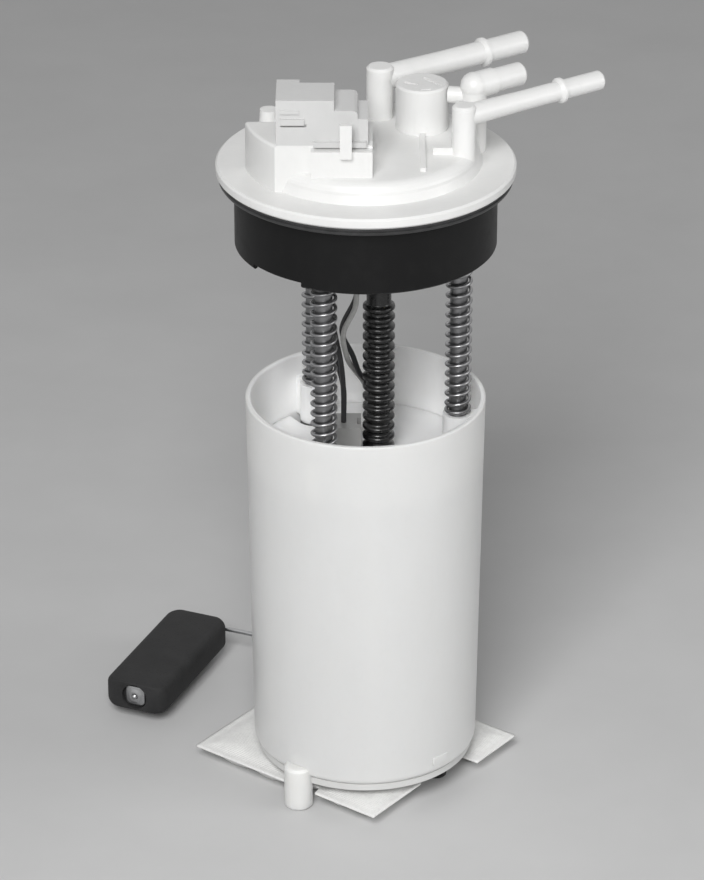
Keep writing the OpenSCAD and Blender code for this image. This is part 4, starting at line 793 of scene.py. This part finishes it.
# %% Float
# OUT and ASIDE are level, OUT along the float's bore, at the sender's own turn from X.
SENDER_TURN = math.radians(67.5)
OUT = np.array([math.cos(SENDER_TURN), math.sin(SENDER_TURN), 0.0])
ASIDE = np.array([-math.sin(SENDER_TURN), math.cos(SENDER_TURN), 0.0])
UP = np.array([0.0, 0.0, 1.0])
FLOAT_SIZE = (68.5 * MM, 28.8 * MM, 13.4 * MM)
FLOAT_CORNER = 5 * MM
FLOAT_EASE = 0.8 * MM
FLOAT_EDGE = 3.2 * MM
POCKET_R = 5.8 * MM
POCKET_DEEP = 2.2 * MM
BORE_R = 1.06 * MM
NEARLY_ROUND = 0.99  # a circle, but for a short straight side between each two of its arcs
CREASE = math.radians(50)


def round_rectangle(half_l, half_w, corner, steps=8):
    """Four quarter circles joined by straight sides, as (x, y) points anticlockwise."""
    angle = np.linspace(0, math.pi / 2, steps + 1)
    arcs = []
    for k, (x, y) in enumerate(((1, 1), (-1, 1), (-1, -1), (1, -1))):
        turned = angle + k * math.pi / 2
        arcs.append(np.stack([x * (half_l - corner) + corner * np.cos(turned),
                              y * (half_w - corner) + corner * np.sin(turned)], axis=-1))
    return np.concatenate(arcs)


def drawn_in(depth, corner):
    """How far a quarter-round corner stands back at each depth from the end:
    c - sqrt(c^2 - (c - d)^2)."""
    left = np.clip(corner - depth, 0, corner)
    return corner - np.sqrt(corner ** 2 - left ** 2)


def squared_rings(stations, centre):
    """A rounded rectangle for each station: its place along OUT, half width, half height and
    corner. Each point is centre + place * OUT + x * ASIDE + y * UP."""
    rings = []
    for out, wide, high, corner in stations:
        flat = round_rectangle(wide, high, corner)
        rings.append(centre + out * OUT + flat[:, :1] * ASIDE + flat[:, 1:] * UP)
    return np.array(rings)


def bored_block(name, size, centre, steps=9):
    """Rounded rectangles along the bore, from the near end to the far one, then back inside it
    as circles. The far end is the near one turned about, with each place's sign changed."""
    depth = FLOAT_CORNER * (1 - np.cos(np.linspace(0, math.pi / 2, steps)))
    depth = np.unique(np.concatenate([depth, FLOAT_EASE * np.array([0.13, 0.5, 1.0])]))
    half_w = size[1] / 2 - drawn_in(depth, FLOAT_CORNER)
    half_h = size[2] / 2 - drawn_in(depth, FLOAT_EASE)
    end = size[0] / 2
    stations = [(-end + d, w, h, FLOAT_EDGE) for d, w, h in zip(depth, half_w, half_h)]
    stations += [(-out, w, h, corner) for out, w, h, corner in stations[::-1]]
    deep = -end + POCKET_DEEP
    for out, radius in ((end, BORE_R), (deep, BORE_R), (deep, POCKET_R), (-end, POCKET_R)):
        stations.append((out, radius, radius, radius * NEARLY_ROUND))
    return ring_surface(name, squared_rings(stations, centre), closed=True)


low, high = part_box("float")
float_centre = np.array([(low.x + high.x) / 2, (low.y + high.y) / 2, (low.z + high.z) / 2])
block = bored_block("float_block", FLOAT_SIZE, float_centre)
block.data.set_sharp_from_angle(angle=CREASE)
finish_piece(block, "float_block", "float")

# %% Arm wire
# The lengths run from the sender's pivot: out to the arm, along it and down to the float's bore,
# and back through that. The wire's end comes out of the float on the near side.
PIVOT_Z = -0.215
WIRE_R = 1.0 * MM
BEND_CUT = 4 * MM
ARM_OUT = 59.5 * MM
GRIP = 6 * MM
KNEE_ASIDE = 62 * MM
REACH = 104.1 * MM
WIRE_DROP = 42.8 * MM
WIRE_END = -11.5 * MM


def bent(corners, cut, steps=8):
    """A path of straight legs whose corners are cut back on both sides and joined by curves:
    each is (1-s)^2 A + 2 s (1-s) C + s^2 B, from A before corner C to B after it."""
    c = np.asarray(corners, float)
    s = np.linspace(0, 1, steps + 1)[:, None]
    path = [c[:1]]
    for before, here, after in zip(c[:-2], c[1:-1], c[2:]):
        a = here + cut * unit(before - here)
        b = here + cut * unit(after - here)
        path.append((1 - s) ** 2 * a + 2 * s * (1 - s) * here + s ** 2 * b)
    return np.concatenate(path + [c[-1:]])


fall = math.atan2(WIRE_DROP, KNEE_ASIDE)
foot = ARM_OUT * OUT + PIVOT_Z * UP
bore_line = REACH * ASIDE + (PIVOT_Z - WIRE_DROP) * UP
arm_corners = [
    foot - GRIP * math.cos(fall) * ASIDE + GRIP * math.sin(fall) * UP,
    foot + KNEE_ASIDE * ASIDE - WIRE_DROP * UP,
    bore_line + ARM_OUT * OUT,
    bore_line + WIRE_END * OUT,
]
NEVER_ALONG = (0.3, 0.2, 1.0)  # no leg of the wire runs this way, so it can set the tube's turn
arm = tube("arm_wire", bent(arm_corners, BEND_CUT), WIRE_R, 20, NEVER_ALONG)
finish_piece(arm, "sender_arm", "float_arm")

# %% [markdown]
# The push nut is stamped from spring sheet: a square plate with round corners, whose middle is
# pushed up into a dome that bites the wire. A turned disc would lack the flat sides, so each ring
# of the surface is a rounded square, and its corners grow until it is a circle at the bore.

# %% Push nut
NUT_RINGS = [  # along the wire, half width, corner, in millimetres
    (-9.1, 4.5, 1.8), (-9.75, 4.5, 1.8), (-9.9, 4.3, 1.7), (-9.95, 3.7, 2.2), (-10.15, 3.2, 2.6),
    (-10.5, 2.5, 2.3), (-10.7, 1.9, 1.85), (-10.7, 1.1, 1.09), (-10.3, 1.04, 1.03),
    (-9.1, 1.04, 1.03)]
stations = [(out * MM, half * MM, half * MM, corner * MM) for out, half, corner in NUT_RINGS]
nut = ring_surface("stamped_nut", squared_rings(stations, bore_line), closed=True)
finish_piece(nut, "sender_arm", "push_nut")

# %% [markdown]
# Strainer sock
#
# The sock is filter cloth folded over a thin moulded frame and welded round its edge. It has no
# filling, so it isn't a cushion: the cloth lies over the frame's ribs, dips a little between
# them and runs down to a flat weld. Simulation would give much the same for far more time. So
# the height is worked out at each point from its distance to the weld and to the nearest rib.

# %% Sock outline and grid
# v and w are the sock's own level directions: X and Y turned by SOCK_TURN. Its outline is a
# rectangle less a corner and, for each foot peg, a notch.
SOCK_V = (-57 * MM, 26 * MM, 38 * MM, 47 * MM)
SOCK_W = (-44.5 * MM, -11 * MM, 17 * MM, 45 * MM)
NOTCH = 6.3 * MM
NOTCH_WIDE = 7.3 * MM
NOTCH_W = 39.8 * MM
GRID_STEP = 1.3 * MM


def edge_low(v):
    """The near edge: straight, but for a notch with slanted sides that clears the foot peg."""
    return np.interp(np.abs(v), [NOTCH, NOTCH_WIDE], [-NOTCH_W, SOCK_W[0]])


def edge_high(v):
    """The far edge, with the same notch."""
    return np.interp(np.abs(v), [NOTCH, NOTCH_WIDE], [NOTCH_W, SOCK_W[3]])


def columns(*stops):
    """Grid lines through every stop, about one grid step apart."""
    lines = []
    for a, b in zip(stops[:-1], stops[1:]):
        lines.append(np.linspace(a, b, max(2, round((b - a) / GRID_STEP) + 1))[:-1])
    return np.concatenate(lines + [stops[-1:]])


def band(v_stops, low, high, rows):
    """A patch of the sock: v along its columns, and w = lower + (upper - lower) * s, with s from
    0 to 1 in rows. Each edge is one number or a curve over v."""
    v = columns(*v_stops)[:, None]
    s = np.linspace(0, 1, rows + 1)[None, :]
    lower = low(v) if callable(low) else np.full_like(v, low)
    upper = high(v) if callable(high) else np.full_like(v, high)
    w = lower + (upper - lower) * s
    return np.stack([np.broadcast_to(v, w.shape), w], axis=-1)


stops = (SOCK_V[0], -NOTCH_WIDE, -NOTCH, NOTCH, NOTCH_WIDE, SOCK_V[1])
rows_near, rows_mid, rows_far = (round((b - a) / GRID_STEP) for a, b in zip(SOCK_W, SOCK_W[1:]))
patches = [
    band((*stops, SOCK_V[2]), edge_low, SOCK_W[1], rows_near),
    band(stops, SOCK_W[1], SOCK_W[2], rows_mid),
    band((*stops, SOCK_V[3]), SOCK_W[2], edge_high, rows_far),
]
points, faces, count = [], [], 0
for patch in patches:
    rows, cols = patch.shape[:2]
    i, j = np.meshgrid(np.arange(rows - 1), np.arange(cols - 1), indexing="ij")
    a = count + i * cols + j
    faces.append(np.stack([a, a + cols, a + cols + 1, a + 1], axis=-1).reshape(-1, 4))
    points.append(patch.reshape(-1, 2))
    count += rows * cols
flat, merged = np.unique(np.round(np.concatenate(points), 6), axis=0, return_inverse=True)
faces = merged.ravel()[np.concatenate(faces)]
print("sock grid", len(flat), "points", len(faces), "squares")


# %% Sock heights
# The weld's width, height and thickness, the cloth's top, and how wide the slope between them is.
SEAM = 3 * MM
SEAM_Z = GROUND + 7 * MM
SEAM_T = 0.8 * MM
SOCK_TOP = GROUND + 9 * MM
SLOPE = 7 * MM
RIBS_V = (-40 * MM, -22 * MM, -4 * MM, 8 * MM)
RIB_REACH = 9 * MM
RIB_DIP = 0.22
RIPPLE = 0.04
RIPPLE_V, RIPPLE_W = 3.1 * MM, 4.3 * MM
BELLY = 1.3


def distance_to_edge(flat):
    """Shortest distance from each point to the outline's straight sides: the share of a side at
    the nearest point is (reach . side) / (side . side), kept from 0 to 1."""
    v, w, n = SOCK_V, SOCK_W, NOTCH_WIDE
    outline = np.array([
        (v[0], w[0]), (-n, w[0]), (-NOTCH, -NOTCH_W), (NOTCH, -NOTCH_W), (n, w[0]), (v[2], w[0]),
        (v[2], w[1]), (v[1], w[1]), (v[1], w[2]), (v[3], w[2]),
        (v[3], w[3]), (n, w[3]), (NOTCH, NOTCH_W), (-NOTCH, NOTCH_W), (-n, w[3]), (v[0], w[3])])
    side = np.roll(outline, -1, axis=0) - outline
    reach = flat[:, None] - outline
    share = np.clip((reach * side).sum(-1) / (side ** 2).sum(-1), 0, 1)
    return np.linalg.norm(reach - share[..., None] * side, axis=-1).min(axis=1)


def sock_swell(flat):
    """0 on the weld, rising as a quarter wave to 1 inside, less a dip between the ribs, and with
    a faint ripple: one sine along v times one along w."""
    inside = np.clip((distance_to_edge(flat) - SEAM) / SLOPE, 0, 1)
    to_rib = np.abs(flat[:, :1] - np.array(RIBS_V)).min(axis=1)
    dip = RIB_DIP * np.clip(to_rib / RIB_REACH, 0, 1) ** 1.5
    ripple = RIPPLE * np.sin(flat[:, 0] / RIPPLE_V) * np.sin(flat[:, 1] / RIPPLE_W + 0.7)
    return np.sin(inside * math.pi / 2) * (1 - dip + ripple)


swell = sock_swell(flat)
print("sock swell from", round(swell.min(), 3), "to", round(swell.max(), 3))

# %% [markdown]
# The two layers of cloth share one grid: the top one rises by the swell, and the lower one drops
# to the ground. They are welded at the rim, which is each side that belongs to one square only.

# %% Sock mesh
across, aside = math.cos(SOCK_TURN), math.sin(SOCK_TURN)
turned = np.stack([flat[:, 0] * across - flat[:, 1] * aside,
                   flat[:, 0] * aside + flat[:, 1] * across], axis=-1)
weld_top, weld_low = SEAM_Z + SEAM_T / 2, SEAM_Z - SEAM_T / 2
top = weld_top + swell * (SOCK_TOP - weld_top)
belly = weld_low - np.clip(swell * BELLY, 0, 1) * (weld_low - GROUND)
layers = np.concatenate([np.column_stack([turned, top]), np.column_stack([turned, belly])])
pairs = np.stack([faces, np.roll(faces, -1, axis=1)], axis=-1).reshape(-1, 2)
_, where, times = np.unique(np.sort(pairs, axis=1), axis=0, return_inverse=True, return_counts=True)
rim = pairs[times[where.ravel()] == 1]
under = len(flat)
wall = np.stack([rim[:, 1], rim[:, 0], rim[:, 0] + under, rim[:, 1] + under], axis=-1)
squares = np.concatenate([faces, faces[:, ::-1] + under, wall])
sock = mesh_of("filter_sock", layers, squares.tolist())
finish_piece(sock, "reservoir", "strainer_sock")

a, b = flat[faces[:, 1]] - flat[faces[:, 0]], flat[faces[:, 3]] - flat[faces[:, 0]]
